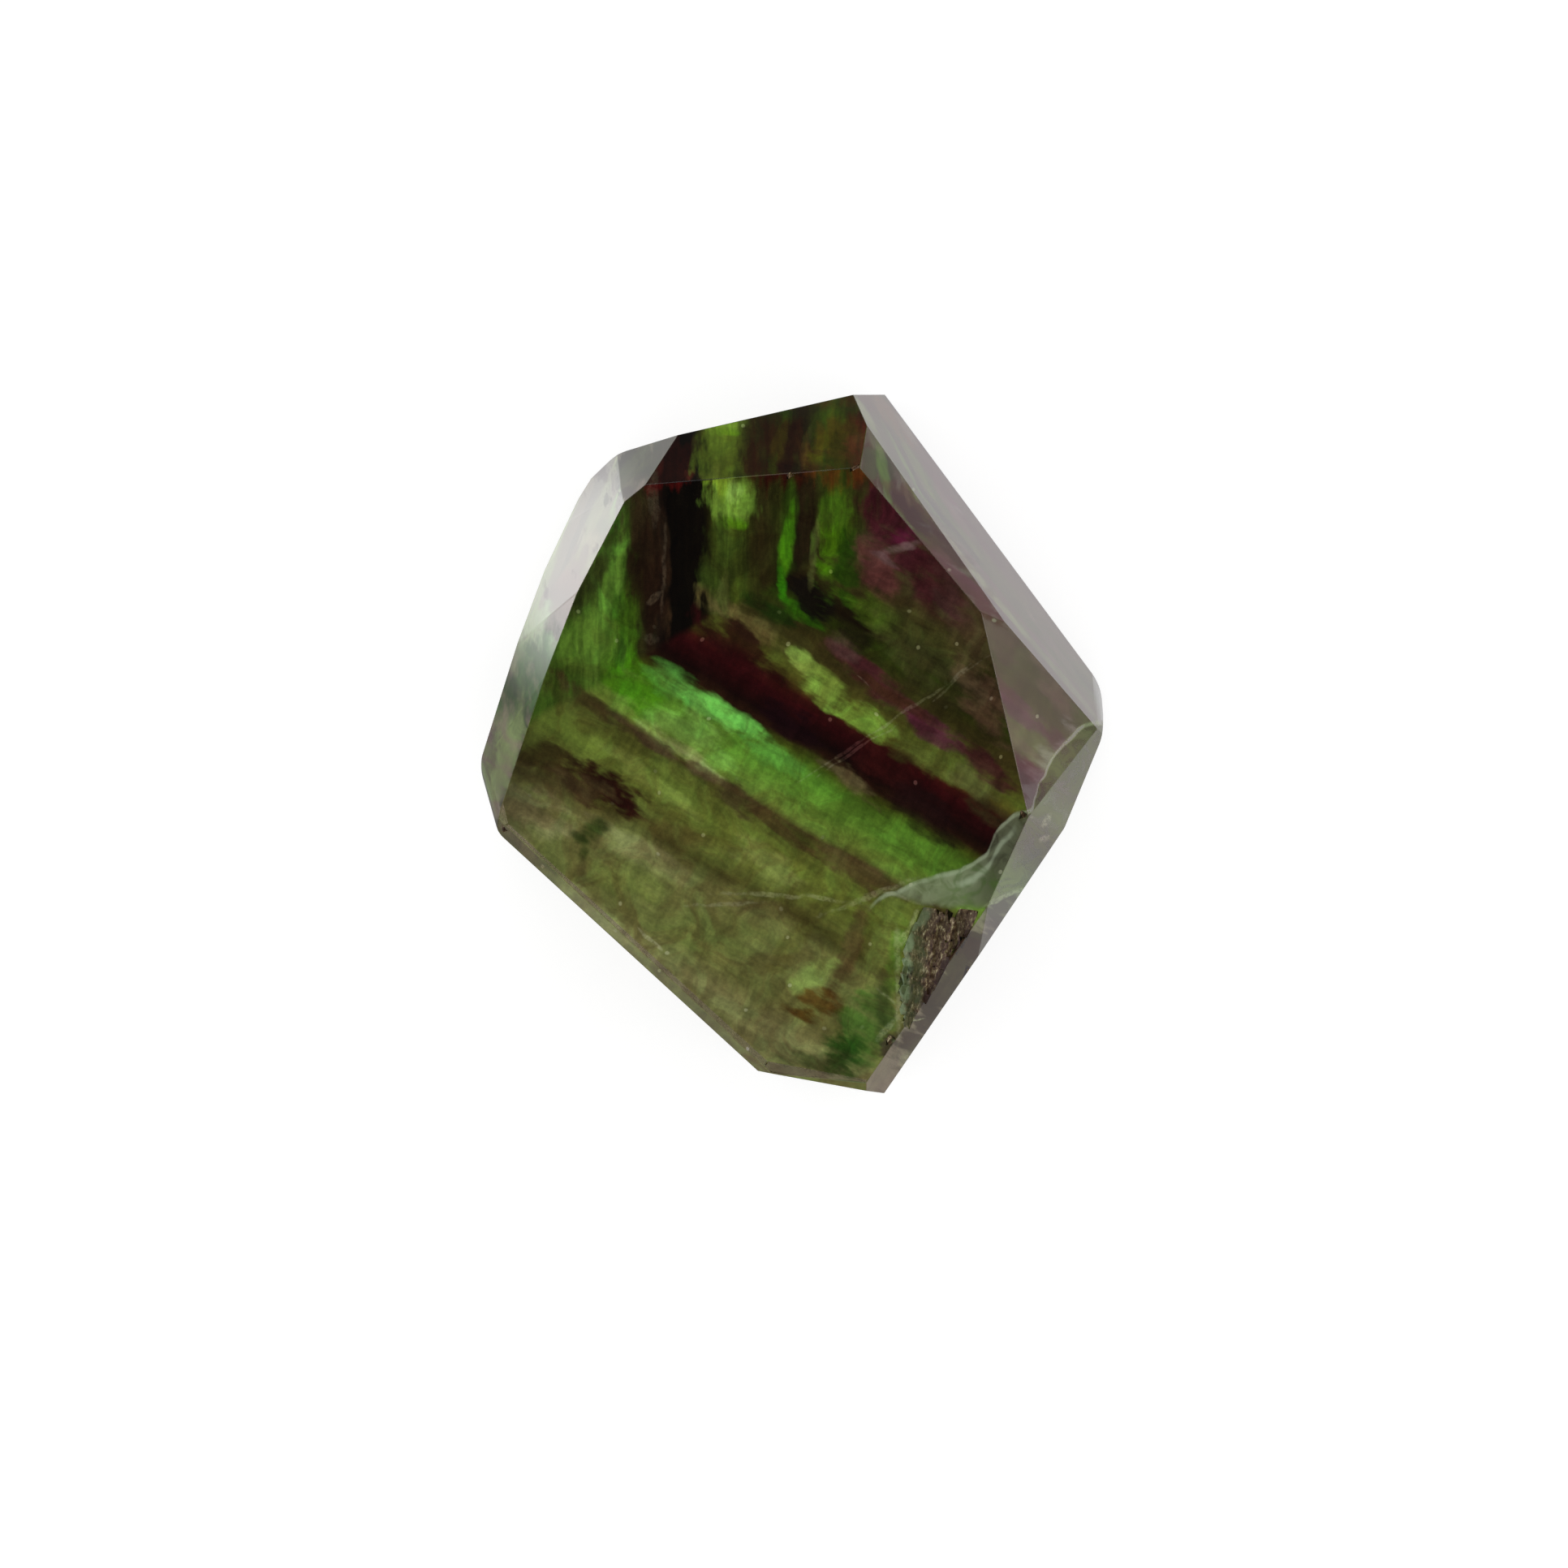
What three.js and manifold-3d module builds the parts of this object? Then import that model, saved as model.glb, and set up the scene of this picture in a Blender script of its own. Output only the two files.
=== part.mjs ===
// Rainbow fluorite freeform: one piece of banded fluorite, ground facet by facet and polished by hand.
// It lies on its broad back face, with the large front face up and the taller way along +Y.
// Millimetres, +Z up. The origin is the middle of the underside of the stone's box.
import * as THREE from 'three';
import { ConvexGeometry } from 'three/addons/geometries/ConvexGeometry.js';
import { mergeVertices } from 'three/addons/utils/BufferGeometryUtils.js';
import Module from 'manifold-3d';

const wasm = await Module();
wasm.setup();

// ---- Driving dimensions, mm and degrees ----
const THICKNESS = 22;       // back face to front face
const EDGE_RADIUS = 0.35;   // polishing rounds every edge by this much
const FINEST = 1e-4;        // points closer than this are one point

// The cut sheet. A facet is ground at a turn about +Z (0 is +X), tilted from level, at a reach from
// the middle of the stone. Tilts under 90 face up, tilts over 90 face down.
const FACETS = {
  front:             { turn: 0,      tilt: 0,    reach: THICKNESS / 2 },
  top_bevel:         { turn: 94.5,   tilt: 55,   reach: 21.2 },
  top_left:          { turn: 129,    tilt: 72.5, reach: 22.15 },
  left_a:            { turn: 150.5,  tilt: 77,   reach: 19.9 },
  left_b:            { turn: 152.5,  tilt: 76.5, reach: 19.6 },
  left_c:            { turn: 159,    tilt: 74,   reach: 19.5 },
  left_d:            { turn: 161.5,  tilt: 72,   reach: 19.75 },
  left_foot:         { turn: -162.5, tilt: 87.5, reach: 20.95 },
  lower_left:        { turn: -133,   tilt: 42,   reach: 19.5 },
  lower_left_wall:   { turn: -132.5, tilt: 88,   reach: 17.9 },
  bottom_bevel:      { turn: -95.5,  tilt: 50,   reach: 23.8 },
  bottom_wall:       { turn: -100.5, tilt: 88,   reach: 22.05 },
  right_strip:       { turn: 40,     tilt: 61,   reach: 18.75 },
  right_triangle:    { turn: 13,     tilt: 47,   reach: 17.9 },
  right_wall:        { turn: 36.5,   tilt: 78.5, reach: 17.9 },
  right_corner:      { turn: 4.5,    tilt: 86,   reach: 21.4 },
  right_low_wall:    { turn: -22.5,  tilt: 87.5, reach: 19.35 },
  lower_right_high:  { turn: -24.5,  tilt: 72.5, reach: 18.75 },
  lower_right:       { turn: -34.5,  tilt: 63.5, reach: 19.85 },
  lower_right_wall:  { turn: -34.5,  tilt: 88,   reach: 18.5 },
  top_wall:          { turn: 103.5,  tilt: 88,   reach: 22.55 },
  top_left_wall:     { turn: 131.5,  tilt: 87,   reach: 23.2 },
  left_wall:         { turn: 164.5,  tilt: 93.5, reach: 20.2 },
  left_wall_high:    { turn: 156.5,  tilt: 93,   reach: 21 },
  left_wall_top:     { turn: 146,    tilt: 92.5, reach: 22.45 },
  back:              { turn: 0,      tilt: 180,  reach: THICKNESS / 2 },
  back_right:        { turn: 37.5,   tilt: 130,  reach: 21.7 },
  back_corner:       { turn: 0,      tilt: 127,  reach: 23.5 },
  back_right_low:    { turn: -22.5,  tilt: 132,  reach: 21.05 },
  back_lower_right:  { turn: -35,    tilt: 128,  reach: 21.25 },
  back_lower_left:   { turn: -132.5, tilt: 131,  reach: 20.25 },
  back_left:         { turn: 164.5,  tilt: 129,  reach: 21.45 },
  back_left_high:    { turn: 156.5,  tilt: 130,  reach: 22 },
  back_left_top:     { turn: 146,    tilt: 129,  reach: 23.3 },
  back_left_foot:    { turn: -165.5, tilt: 131,  reach: 22.7 },
  back_top:          { turn: 103.5,  tilt: 128,  reach: 24.5 },
  back_bottom:       { turn: -100.5, tilt: 130,  reach: 23.75 },
};

// The rough break in the front face: steps of the crystal's cleavage, which all face the same ways.
const BREAK = {
  topLeft: new THREE.Vector2(8.9, -11.8),    // middles of the outermost steps
  topRight: new THREE.Vector2(10.9, -11.9),
  tip: new THREE.Vector2(7.8, -18.2),
  bulge: 0.9,                                // how far its left side bows out
  rows: 9,
  across: 4,                                 // steps in a row
  size: 1.15,                                // corner radius of the largest step
  shrink: 0.5,                               // how much smaller the steps are at the tip
  uneven: 0.4,                               // how much the steps differ
  lift: 0.25,                                // how far a step's middle lies over the face, of its size
};
const CLEAVAGE = new THREE.Euler(0.5, 0.62, 0.35);   // how the crystal lies in the stone

// Small chips knocked out of the edges: place from the middle of the stone, and size.
const CHIPS = [
  { at: new THREE.Vector3(-0.1, 18.05, 11.1), size: 0.4 },
  { at: new THREE.Vector3(4.2, 18.6, 11.1), size: 0.5 },
  { at: new THREE.Vector3(11.8, -15.1, 8.0), size: 0.6 },
  { at: new THREE.Vector3(15.4, -4.6, 11.0), size: 0.4 },
  { at: new THREE.Vector3(-19.2, -5.6, 10.9), size: 0.45 },
];

// ---- Shape helpers ----

// The facet's plane: points inside the stone have normal . p below reach.
function facetPlane({ turn, tilt, reach }) {
  const normal = new THREE.Vector3().setFromSphericalCoords(
    1, THREE.MathUtils.degToRad(tilt), 0).applyAxisAngle(new THREE.Vector3(1, 0, 0), Math.PI / 2);
  normal.applyAxisAngle(new THREE.Vector3(0, 0, 1), THREE.MathUtils.degToRad(turn) + Math.PI / 2);
  return { normal, reach };
}

// The point where three planes meet, or null where they run parallel.
function meet(a, b, c) {
  const rows = new THREE.Matrix3().set(...a.normal, ...b.normal, ...c.normal);
  if (Math.abs(rows.determinant()) < FINEST) return null;
  return new THREE.Vector3(a.reach, b.reach, c.reach).applyMatrix3(rows.invert());
}

// Every corner of the solid that the planes enclose.
function corners(planes) {
  const found = [];
  const inside = (p) => planes.every(({ normal, reach }) => normal.dot(p) < reach + FINEST);
  for (let i = 0; i < planes.length; i += 1) {
    for (let j = i + 1; j < planes.length; j += 1) {
      for (let k = j + 1; k < planes.length; k += 1) {
        const corner = meet(planes[i], planes[j], planes[k]);
        if (corner && inside(corner)) found.push(corner);
      }
    }
  }
  return found;
}

// A closed geometry as a solid that can be cut.
function solid(geometry) {
  const bare = geometry.clone();
  bare.deleteAttribute('normal');
  bare.deleteAttribute('uv');
  const merged = mergeVertices(bare, FINEST);
  return new wasm.Manifold(new wasm.Mesh({
    numProp: 3,
    vertProperties: merged.attributes.position.array,
    triVerts: new Uint32Array(merged.index.array),
  }));
}

// A cut solid as a geometry with flat faces.
function faceted(shape) {
  const { vertProperties, triVerts } = shape.getMesh();
  const indexed = new THREE.BufferGeometry();
  indexed.setAttribute('position', new THREE.BufferAttribute(vertProperties, 3));
  indexed.setIndex(new THREE.BufferAttribute(triVerts, 1));
  const geometry = indexed.toNonIndexed();
  geometry.computeVertexNormals();
  return geometry;
}

// ---- The stone ----

// The ground block: the facets pulled in by the edge radius, with a small ball rolled round them.
function groundBlock() {
  const planes = Object.values(FACETS).map(facetPlane);
  const inner = planes.map(({ normal, reach }) => ({ normal, reach: reach - EDGE_RADIUS }));
  const ball = new THREE.IcosahedronGeometry(EDGE_RADIUS, 1).attributes.position;
  const points = corners(inner).flatMap((corner) =>
    Array.from({ length: ball.count }, (_, i) =>
      new THREE.Vector3().fromBufferAttribute(ball, i).add(corner)));
  return solid(new ConvexGeometry(points));
}

// The steps of the broken patch, row by row from its broad end to its tip.
function breakSteps() {
  const { topLeft, topRight, tip, bulge, rows, across, size, shrink, uneven, lift } = BREAK;
  const steps = [];
  for (let row = 0; row < rows; row += 1) {
    const down = row / (rows - 1);
    const left = topLeft.clone().lerp(tip, down);
    left.x -= bulge * Math.sin(Math.PI * down);
    const right = topRight.clone().lerp(tip, down);
    for (let i = 0; i < across; i += 1) {
      const rough = uneven * Math.sin(7.3 * row + 4.1 * i + 1);
      const radius = size * (1 - shrink * down) * (1 + 0.5 * rough);
      const place = left.clone().lerp(right, i / (across - 1));
      const step = new THREE.OctahedronGeometry(radius);
      step.applyMatrix4(new THREE.Matrix4().makeRotationFromEuler(CLEAVAGE));
      step.translate(place.x, place.y, THICKNESS / 2 + (lift - rough) * radius);
      steps.push(solid(step));
    }
  }
  return steps;
}

function edgeChips() {
  return CHIPS.map(({ at, size }) => {
    const chip = new THREE.TetrahedronGeometry(size);
    chip.applyMatrix4(new THREE.Matrix4().makeRotationFromEuler(CLEAVAGE));
    chip.translate(...at);
    return solid(chip);
  });
}

function stoneGeometry() {
  const cuts = [...breakSteps(), ...edgeChips()];
  const shape = cuts.reduce((stone, cut) => stone.subtract(cut), groundBlock());
  const geometry = faceted(shape);
  geometry.computeBoundingBox();
  const middle = geometry.boundingBox.getCenter(new THREE.Vector3());
  return geometry.translate(-middle.x, -middle.y, -geometry.boundingBox.min.z);
}

const polished = new THREE.MeshStandardMaterial({ color: 0x5c6b3a, roughness: 0.06, metalness: 0 });

const fluorite = new THREE.Mesh(stoneGeometry(), polished);
fluorite.name = 'fluorite';

const freeform = new THREE.Group();
freeform.add(fluorite);

export default freeform;
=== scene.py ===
# %% [markdown]
# # A banded fluorite freeform
# A freeform is one piece of stone, ground flat facet by flat facet on a spinning lap and polished.
# This lesson grinds the stone the way the maker does, then gives it the clear, banded look of fluorite.
# The frame comes first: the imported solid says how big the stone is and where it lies.

# %% Load the frame
import math

import bmesh
import bpy
from mathutils import Euler, Matrix, Vector


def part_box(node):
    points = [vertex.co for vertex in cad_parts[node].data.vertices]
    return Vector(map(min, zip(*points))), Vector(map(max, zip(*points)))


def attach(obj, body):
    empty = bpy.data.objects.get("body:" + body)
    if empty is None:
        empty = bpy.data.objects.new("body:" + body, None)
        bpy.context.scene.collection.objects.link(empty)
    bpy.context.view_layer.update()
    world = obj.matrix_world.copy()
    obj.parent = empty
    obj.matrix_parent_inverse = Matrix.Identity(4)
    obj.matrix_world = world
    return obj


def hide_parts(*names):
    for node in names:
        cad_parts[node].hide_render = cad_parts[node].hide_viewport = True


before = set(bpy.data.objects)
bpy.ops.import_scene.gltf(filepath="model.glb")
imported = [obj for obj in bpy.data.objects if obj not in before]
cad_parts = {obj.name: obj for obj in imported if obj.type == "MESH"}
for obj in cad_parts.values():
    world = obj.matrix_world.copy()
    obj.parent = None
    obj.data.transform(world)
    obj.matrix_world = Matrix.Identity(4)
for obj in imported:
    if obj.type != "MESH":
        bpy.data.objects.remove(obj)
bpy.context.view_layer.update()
low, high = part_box("fluorite")
print("stone box, mm:", [round(1000 * side, 2) for side in high - low])

# %% [markdown]
# ## Units and the grinder's cut sheet
# A cut sheet lists each facet by its turn about the upright axis, its tilt from level and its reach
# from the middle of the stone. Angles are in degrees and reaches in millimetres.

# %% The cut sheet
MM = 0.001
THICKNESS = (high.z - low.z) / MM
TOP = THICKNESS / 2                     # the front face lies this far from the middle
EDGE_RADIUS = 0.35                      # the rounding reaches this far on each side of an edge

FACETS = {
    "front": (0, 0, TOP),
    "top_bevel": (94.5, 55, 21.2),
    "top_left": (129, 72.5, 22.15),
    "left_a": (150.5, 77, 19.9),
    "left_b": (152.5, 76.5, 19.6),
    "left_c": (159, 74, 19.5),
    "left_d": (161.5, 72, 19.75),
    "left_foot": (-162.5, 87.5, 20.95),
    "lower_left": (-133, 42, 19.5),
    "lower_left_wall": (-132.5, 88, 17.9),
    "bottom_bevel": (-95.5, 50, 23.8),
    "bottom_wall": (-100.5, 88, 22.05),
    "right_strip": (40, 61, 18.75),
    "right_triangle": (13, 47, 17.9),
    "right_wall": (36.5, 78.5, 17.9),
    "right_corner": (4.5, 86, 21.4),
    "right_low_wall": (-22.5, 87.5, 19.35),
    "lower_right_high": (-24.5, 72.5, 18.75),
    "lower_right": (-34.5, 63.5, 19.85),
    "lower_right_wall": (-34.5, 88, 18.5),
    "top_wall": (103.5, 88, 22.55),
    "top_left_wall": (131.5, 87, 23.2),
    "left_wall": (164.5, 93.5, 20.2),
    "left_wall_high": (156.5, 93, 21),
    "left_wall_top": (146, 92.5, 22.45),
    "back": (0, 180, TOP),
    "back_right": (37.5, 130, 21.7),
    "back_corner": (0, 127, 23.5),
    "back_right_low": (-22.5, 132, 21.05),
    "back_lower_right": (-35, 128, 21.25),
    "back_lower_left": (-132.5, 131, 20.25),
    "back_left": (164.5, 129, 21.45),
    "back_left_high": (156.5, 130, 22),
    "back_left_top": (146, 129, 23.3),
    "back_left_foot": (-165.5, 131, 22.7),
    "back_top": (103.5, 128, 24.5),
    "back_bottom": (-100.5, 130, 23.75),
}
print(len(FACETS), "facets on the cut sheet")

# %% Cutting helpers
NEAR = 1e-6                             # a corner as near to a cut as this counts as on it, mm


def facet_normal(turn, tilt):
    """The way a facet faces, from its turn about +Z and its tilt from level."""
    across = math.sin(math.radians(tilt))
    return Vector((across * math.cos(math.radians(turn)), across * math.sin(math.radians(turn)),
                   math.cos(math.radians(tilt))))


def grind(mesh, normal, reach):
    """Cuts everything beyond reach along normal off the block, and closes the cut with one flat face."""
    everything = mesh.verts[:] + mesh.edges[:] + mesh.faces[:]
    cut = bmesh.ops.bisect_plane(mesh, geom=everything, plane_co=normal * reach, plane_no=normal,
                                 clear_outer=True, dist=NEAR)
    rim = [part for part in cut["geom_cut"] if isinstance(part, bmesh.types.BMEdge)]
    return bmesh.ops.contextual_create(mesh, geom=rim)["faces"] if rim else []


# %% [markdown]
# ## The ground block
# The block starts as a rough cube. Each facet is one straight cut that is closed with one flat face,
# so the stone stays watertight and every facet is truly flat. A subdivided sphere could be pressed
# flat instead, but its facets would never be quite even, and clear stone shows that at once.
# Each new face is told which finish it gets: the banded front, the paler sides or the back.

# %% Grind the stone
FINISHES = ["fluorite_front", "fluorite_sides", "fluorite_back", "fluorite_break"]
BANDED = {"front", "top_bevel", "lower_left", "lower_left_wall", "bottom_bevel", "bottom_wall",
          "top_wall"}
ROUGH_CUBE = 80                         # side of the rough cube, mm


def finish_of(facet):
    """The number of the finish that a facet gets."""
    if facet in BANDED:
        return FINISHES.index("fluorite_front")
    return FINISHES.index("fluorite_back" if facet.startswith("back") else "fluorite_sides")


stone_mesh = bmesh.new()
bmesh.ops.create_cube(stone_mesh, size=ROUGH_CUBE)
for facet, (turn, tilt, reach) in FACETS.items():
    for face in grind(stone_mesh, facet_normal(turn, tilt), reach):
        face.material_index = finish_of(facet)
print("ground block:", len(stone_mesh.faces), "faces,", len(stone_mesh.verts), "corners")

# %% [markdown]
# The narrow facets of the left side were ground in one rocking stroke, so the shallow edges between
# them are rounded wide. A bevel in a few steps does that, and smooth shading hides the steps.

# %% Round the rocked edges
ROCKED_ANGLE = math.radians(9)          # facets that meet flatter than this were rocked
ROCKED_RADIUS = 1.3                     # and their rounding reaches this far, mm
ROCKED_STEPS = 3


def edge_angle(edge):
    """How sharply two facets meet, 0 where they lie level."""
    return edge.calc_face_angle(0)


def round_edges(mesh, edges, radius, steps):
    """Rounds edges, and shades the new strips smooth."""
    made = bmesh.ops.bevel(mesh, geom=edges, offset=radius, offset_type="OFFSET", segments=steps,
                           profile=0.5, affect="EDGES", material=-1, clamp_overlap=True)
    for face in made["faces"]:
        face.smooth = True


rocked = [edge for edge in stone_mesh.edges if edge_angle(edge) < ROCKED_ANGLE]
round_edges(stone_mesh, rocked, ROCKED_RADIUS, ROCKED_STEPS)
print("rocked edges:", len(rocked))

# %% [markdown]
# The upright corners of the outline are held and knocked most, so they are worn much rounder than the
# edges of the front. A wide bevel would be squeezed by its narrowest neighbour, so each of these corners
# is ground away in a fan of narrow strips that all touch one cylinder.

# %% Wear the corners of the outline
WORN_CORNERS = [("left_wall", "left_foot", 3.2), ("left_d", "left_foot", 3.2),
                ("left_foot", "lower_left_wall", 2.0), ("right_wall", "right_corner", 4.0),
                ("right_corner", "right_low_wall", 4.0), ("top_wall", "top_left_wall", 3.0)]
STRIPS = 5                              # narrow strips to a corner


def wear(mesh, first, second, radius):
    """Rounds the corner between two facets with strips that touch a cylinder of a radius."""
    normals = [facet_normal(*FACETS[name][:2]) for name in (first, second)]
    inward = [FACETS[name][2] - radius for name in (first, second)]
    angle = normals[0].angle(normals[1])
    for strip in range(1, STRIPS + 1):
        turned = angle * strip / (STRIPS + 1)
        shares = [math.sin(angle - turned) / math.sin(angle), math.sin(turned) / math.sin(angle)]
        normal = shares[0] * normals[0] + shares[1] * normals[1]
        reach = radius + shares[0] * inward[0] + shares[1] * inward[1]
        for face in grind(mesh, normal, reach):
            face.smooth = True
            face.material_index = FINISHES.index("fluorite_sides")


for first, second, radius in WORN_CORNERS:
    wear(stone_mesh, first, second, radius)
print("worn corners:", len(WORN_CORNERS), "of", STRIPS, "strips each")

# %% [markdown]
# Polishing on felt rounds every other edge a little, and evenly, so one bevel goes round them all.

# %% Round the other edges
EDGE_STEPS = 4
sharp = [edge for edge in stone_mesh.edges if edge_angle(edge) > ROCKED_ANGLE]
round_edges(stone_mesh, sharp, EDGE_RADIUS, EDGE_STEPS)
print("rounded block:", len(stone_mesh.faces), "faces")

# %% [markdown]
# The stone goes from millimetres about its middle to metres above the surface it lies on.

# %% Put the stone in the frame
MIDDLE = Vector((0.285, 0.559, -TOP))   # the point of the cut sheet that lies at the frame's origin, mm


def in_place(point):
    """A point given from the stone's middle in millimetres, where it lies in the frame in metres."""
    return (Vector(point) - MIDDLE) * MM


def object_from(mesh, name, materials=()):
    """A finished bmesh as an object at the origin."""
    data = bpy.data.meshes.new(name)
    mesh.to_mesh(data)
    mesh.free()
    for material in materials:
        data.materials.append(material)
    made = bpy.data.objects.new(name, data)
    bpy.context.scene.collection.objects.link(made)
    return made


for vert in stone_mesh.verts:
    vert.co = in_place(vert.co)
stone = object_from(stone_mesh, "stone")
print("stone in the frame:", len(stone.data.polygons), "faces")

# %% [markdown]
# ## The break
# Near its lower tip the front face was never polished out: the crystal broke away there along its
# cleavage. Fluorite cleaves along the faces of an octahedron, so the break is a crowd of small steps
# that all face the same ways. Octahedra, turned alike and slimmed to shards, are set in rows along the
# face and cut away, a few large ones for the hollow and many small ones for its crumbly floor.
# A noisy displacement would be quicker, but it gives lumps, not the flat glints of a crystal.

# %% Cutters for the break
CLEAVAGE = Euler((0.5, 0.62, 0.35))     # how the cleavage faces are turned in the stone
GRAIN = math.radians(-12)               # the shards of the break lean this much from upright
BREAK = {"top_left": Vector((8.9, -11.8)), "top_right": Vector((11.4, -11.7)),
         "tip": Vector((7.8, -18.2)), "bulge": 0.9}
ROW_JUMP, COLUMN_JUMP = 7.3, 4.1        # a sine with such long jumps is different at every step
cleaved = (Matrix.Rotation(CLEAVAGE.x, 4, "X") @ Matrix.Rotation(CLEAVAGE.y, 4, "Y")
           @ Matrix.Rotation(CLEAVAGE.z, 4, "Z"))


def add_step(mesh, place, radius, slim):
    """A shard of the cleavage, which is a slimmed octahedron: a sphere of four segments and two rings."""
    drawn = Matrix.Rotation(GRAIN, 4, "Z") @ Matrix.Diagonal((slim, 1 / slim, 1, 1))
    bmesh.ops.create_uvsphere(mesh, u_segments=4, v_segments=2, radius=radius * MM,
                              matrix=Matrix.Translation(in_place(place)) @ drawn @ cleaved)


def add_steps(mesh, rows, across, size, shrink, uneven, lift, slim):
    """Rows of steps that fill the outline of the break, smaller towards its tip."""
    for row in range(rows):
        down = row / (rows - 1)
        left = BREAK["top_left"].lerp(BREAK["tip"], down)
        left.x -= BREAK["bulge"] * math.sin(math.pi * down)
        right = BREAK["top_right"].lerp(BREAK["tip"], down)
        for column in range(across):
            rough = uneven * math.sin(ROW_JUMP * row + COLUMN_JUMP * column + 1)
            radius = size * (1 - shrink * down) * (1 + 0.5 * rough)
            x, y = left.lerp(right, column / (across - 1))
            add_step(mesh, (x, y, TOP + (lift - rough) * radius), radius, slim)


cutter_mesh = bmesh.new()
add_steps(cutter_mesh, rows=8, across=3, size=1.2, shrink=0.5, uneven=0.4, lift=0.25, slim=0.8)
add_steps(cutter_mesh, rows=12, across=7, size=0.66, shrink=0.35, uneven=0.6, lift=-0.15, slim=0.6)
print("break:", len(cutter_mesh.faces) // 8, "steps of 8 faces")

# %% [markdown]
# A few knocks took small chips out of the edges. A chip in fluorite is a tiny tetrahedron, because
# three cleavage faces meet in it.

# %% Cutters for the chips
CHIP_DEPTH = 1.33                       # height of a chip as a share of its radius
CHIPS = [((-0.1, 18.05, 11.1), 0.4), ((4.2, 18.6, 11.1), 0.5), ((11.8, -15.1, 8.0), 0.6),
         ((15.4, -4.6, 11.0), 0.4), ((-19.2, -5.6, 10.9), 0.45), ((7.6, -18.1, 11.05), 0.35),
         ((6.6, -19.6, 11.1), 0.5), ((6.9, -20.4, 11.0), 0.4)]
for place, size in CHIPS:
    bmesh.ops.create_cone(cutter_mesh, cap_ends=True, segments=3, radius1=size * MM, radius2=0,
                          depth=CHIP_DEPTH * size * MM, matrix=Matrix.Translation(in_place(place)) @ cleaved)
for face in cutter_mesh.faces:
    face.material_index = FINISHES.index("fluorite_break")
cutter = object_from(cutter_mesh, "cutter")
print("chips:", len(CHIPS))

# %% [markdown]
# Stone and cutter get the same list of finishes, so each cut face brings the finish of the break along.
# One Boolean then makes every cut at once. The steps run through one another, which only the exact
# solver copes with, and only when it is told to look for crossings within the cutter itself.

# %% Cut the break and the chips
for name in FINISHES:
    finish = bpy.data.materials.new(name)
    finish.use_nodes = True
    stone.data.materials.append(finish)
    cutter.data.materials.append(finish)
cut = stone.modifiers.new("break", "BOOLEAN")
cut.operation = "DIFFERENCE"
cut.solver = "EXACT"
cut.use_self = True
cut.object = cutter
cut_stone = stone.evaluated_get(bpy.context.evaluated_depsgraph_get())
cut_data = bpy.data.meshes.new_from_object(cut_stone)
stone.modifiers.clear()
stone.data = cut_data
bpy.data.objects.remove(cutter)
print("cut stone:", len(cut_data.polygons), "faces")

# %% [markdown]
# Where steps only just touch, such a cut leaves double corners and loose crumbs. Corners that lie on one
# another are merged, and what doesn't hang together with the foot of the stone is brushed off. A closed
# mesh, where every edge has two faces, is what lets clear stone bend light the right way.

# %% Brush off the crumbs
SEAM = 0.0005                           # corners nearer to one another than this are one, mm


def hanging_together(first):
    """All the corners that can be reached along edges from a first one."""
    reached, waiting = {first}, [first]
    while waiting:
        corner = waiting.pop()
        for edge in corner.link_edges:
            other = edge.other_vert(corner)
            if other not in reached:
                reached.add(other)
                waiting.append(other)
    return reached


cut_mesh = bmesh.new()
cut_mesh.from_mesh(stone.data)
bmesh.ops.remove_doubles(cut_mesh, verts=cut_mesh.verts, dist=SEAM * MM)
held = hanging_together(min(cut_mesh.verts, key=lambda corner: corner.co.z))
crumbs = [corner for corner in cut_mesh.verts if corner not in held]
bmesh.ops.delete(cut_mesh, geom=crumbs, context="VERTS")
bmesh.ops.recalc_face_normals(cut_mesh, faces=cut_mesh.faces)
open_edges = sum(not edge.is_manifold for edge in cut_mesh.edges)
volume = cut_mesh.calc_volume() / MM ** 3 / 1000
print("crumbs brushed off:", len(crumbs), "corners; open edges:", open_edges)
print("clean stone:", len(cut_mesh.faces), "faces,", round(volume, 1), "cubic centimetres")
cut_mesh.to_mesh(stone.data)
cut_mesh.free()

# %% [markdown]
# ## Helpers for the finishes
# Every finish is a small network of nodes. These helpers add a node, join it up and do sums with it,
# so that the finishes below read like recipes.

# %% Helpers: colours, links and nodes
def linear(color):
    """A screen colour from 0 to 255 as the light values that nodes use."""
    parts = [part / 255 for part in color]
    return tuple(p / 12.92 if p <= 0.04045 else ((p + 0.055) / 1.055) ** 2.4 for p in parts) + (1.0,)


def join(tree, value, socket):
    """Puts a socket or a plain value into an input."""
    if isinstance(value, bpy.types.NodeSocket):
        tree.links.new(value, socket)
    else:
        socket.default_value = value


def add_node(tree, kind, inputs=None, **settings):
    """Adds a node with its settings and inputs."""
    node = tree.nodes.new("ShaderNode" + kind)
    for setting, value in settings.items():
        setattr(node, setting, value)
    for name, value in (inputs or {}).items():
        join(tree, value, node.inputs[name])
    return node


# %% Helpers: sums
def sums(tree, operation, *values):
    """One sum of a Math node."""
    node = tree.nodes.new("ShaderNodeMath")
    node.operation = operation
    for value, socket in zip(values, node.inputs):
        join(tree, value, socket)
    return node.outputs[0]


def vectors(tree, operation, *values):
    """One sum of a Vector Math node, which gives a number or a vector."""
    node = tree.nodes.new("ShaderNodeVectorMath")
    node.operation = operation
    for value, socket in zip(values, node.inputs):
        join(tree, value, socket)
    gives_number = operation in ("LENGTH", "DISTANCE", "DOT_PRODUCT")
    return node.outputs["Value" if gives_number else "Vector"]


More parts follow.
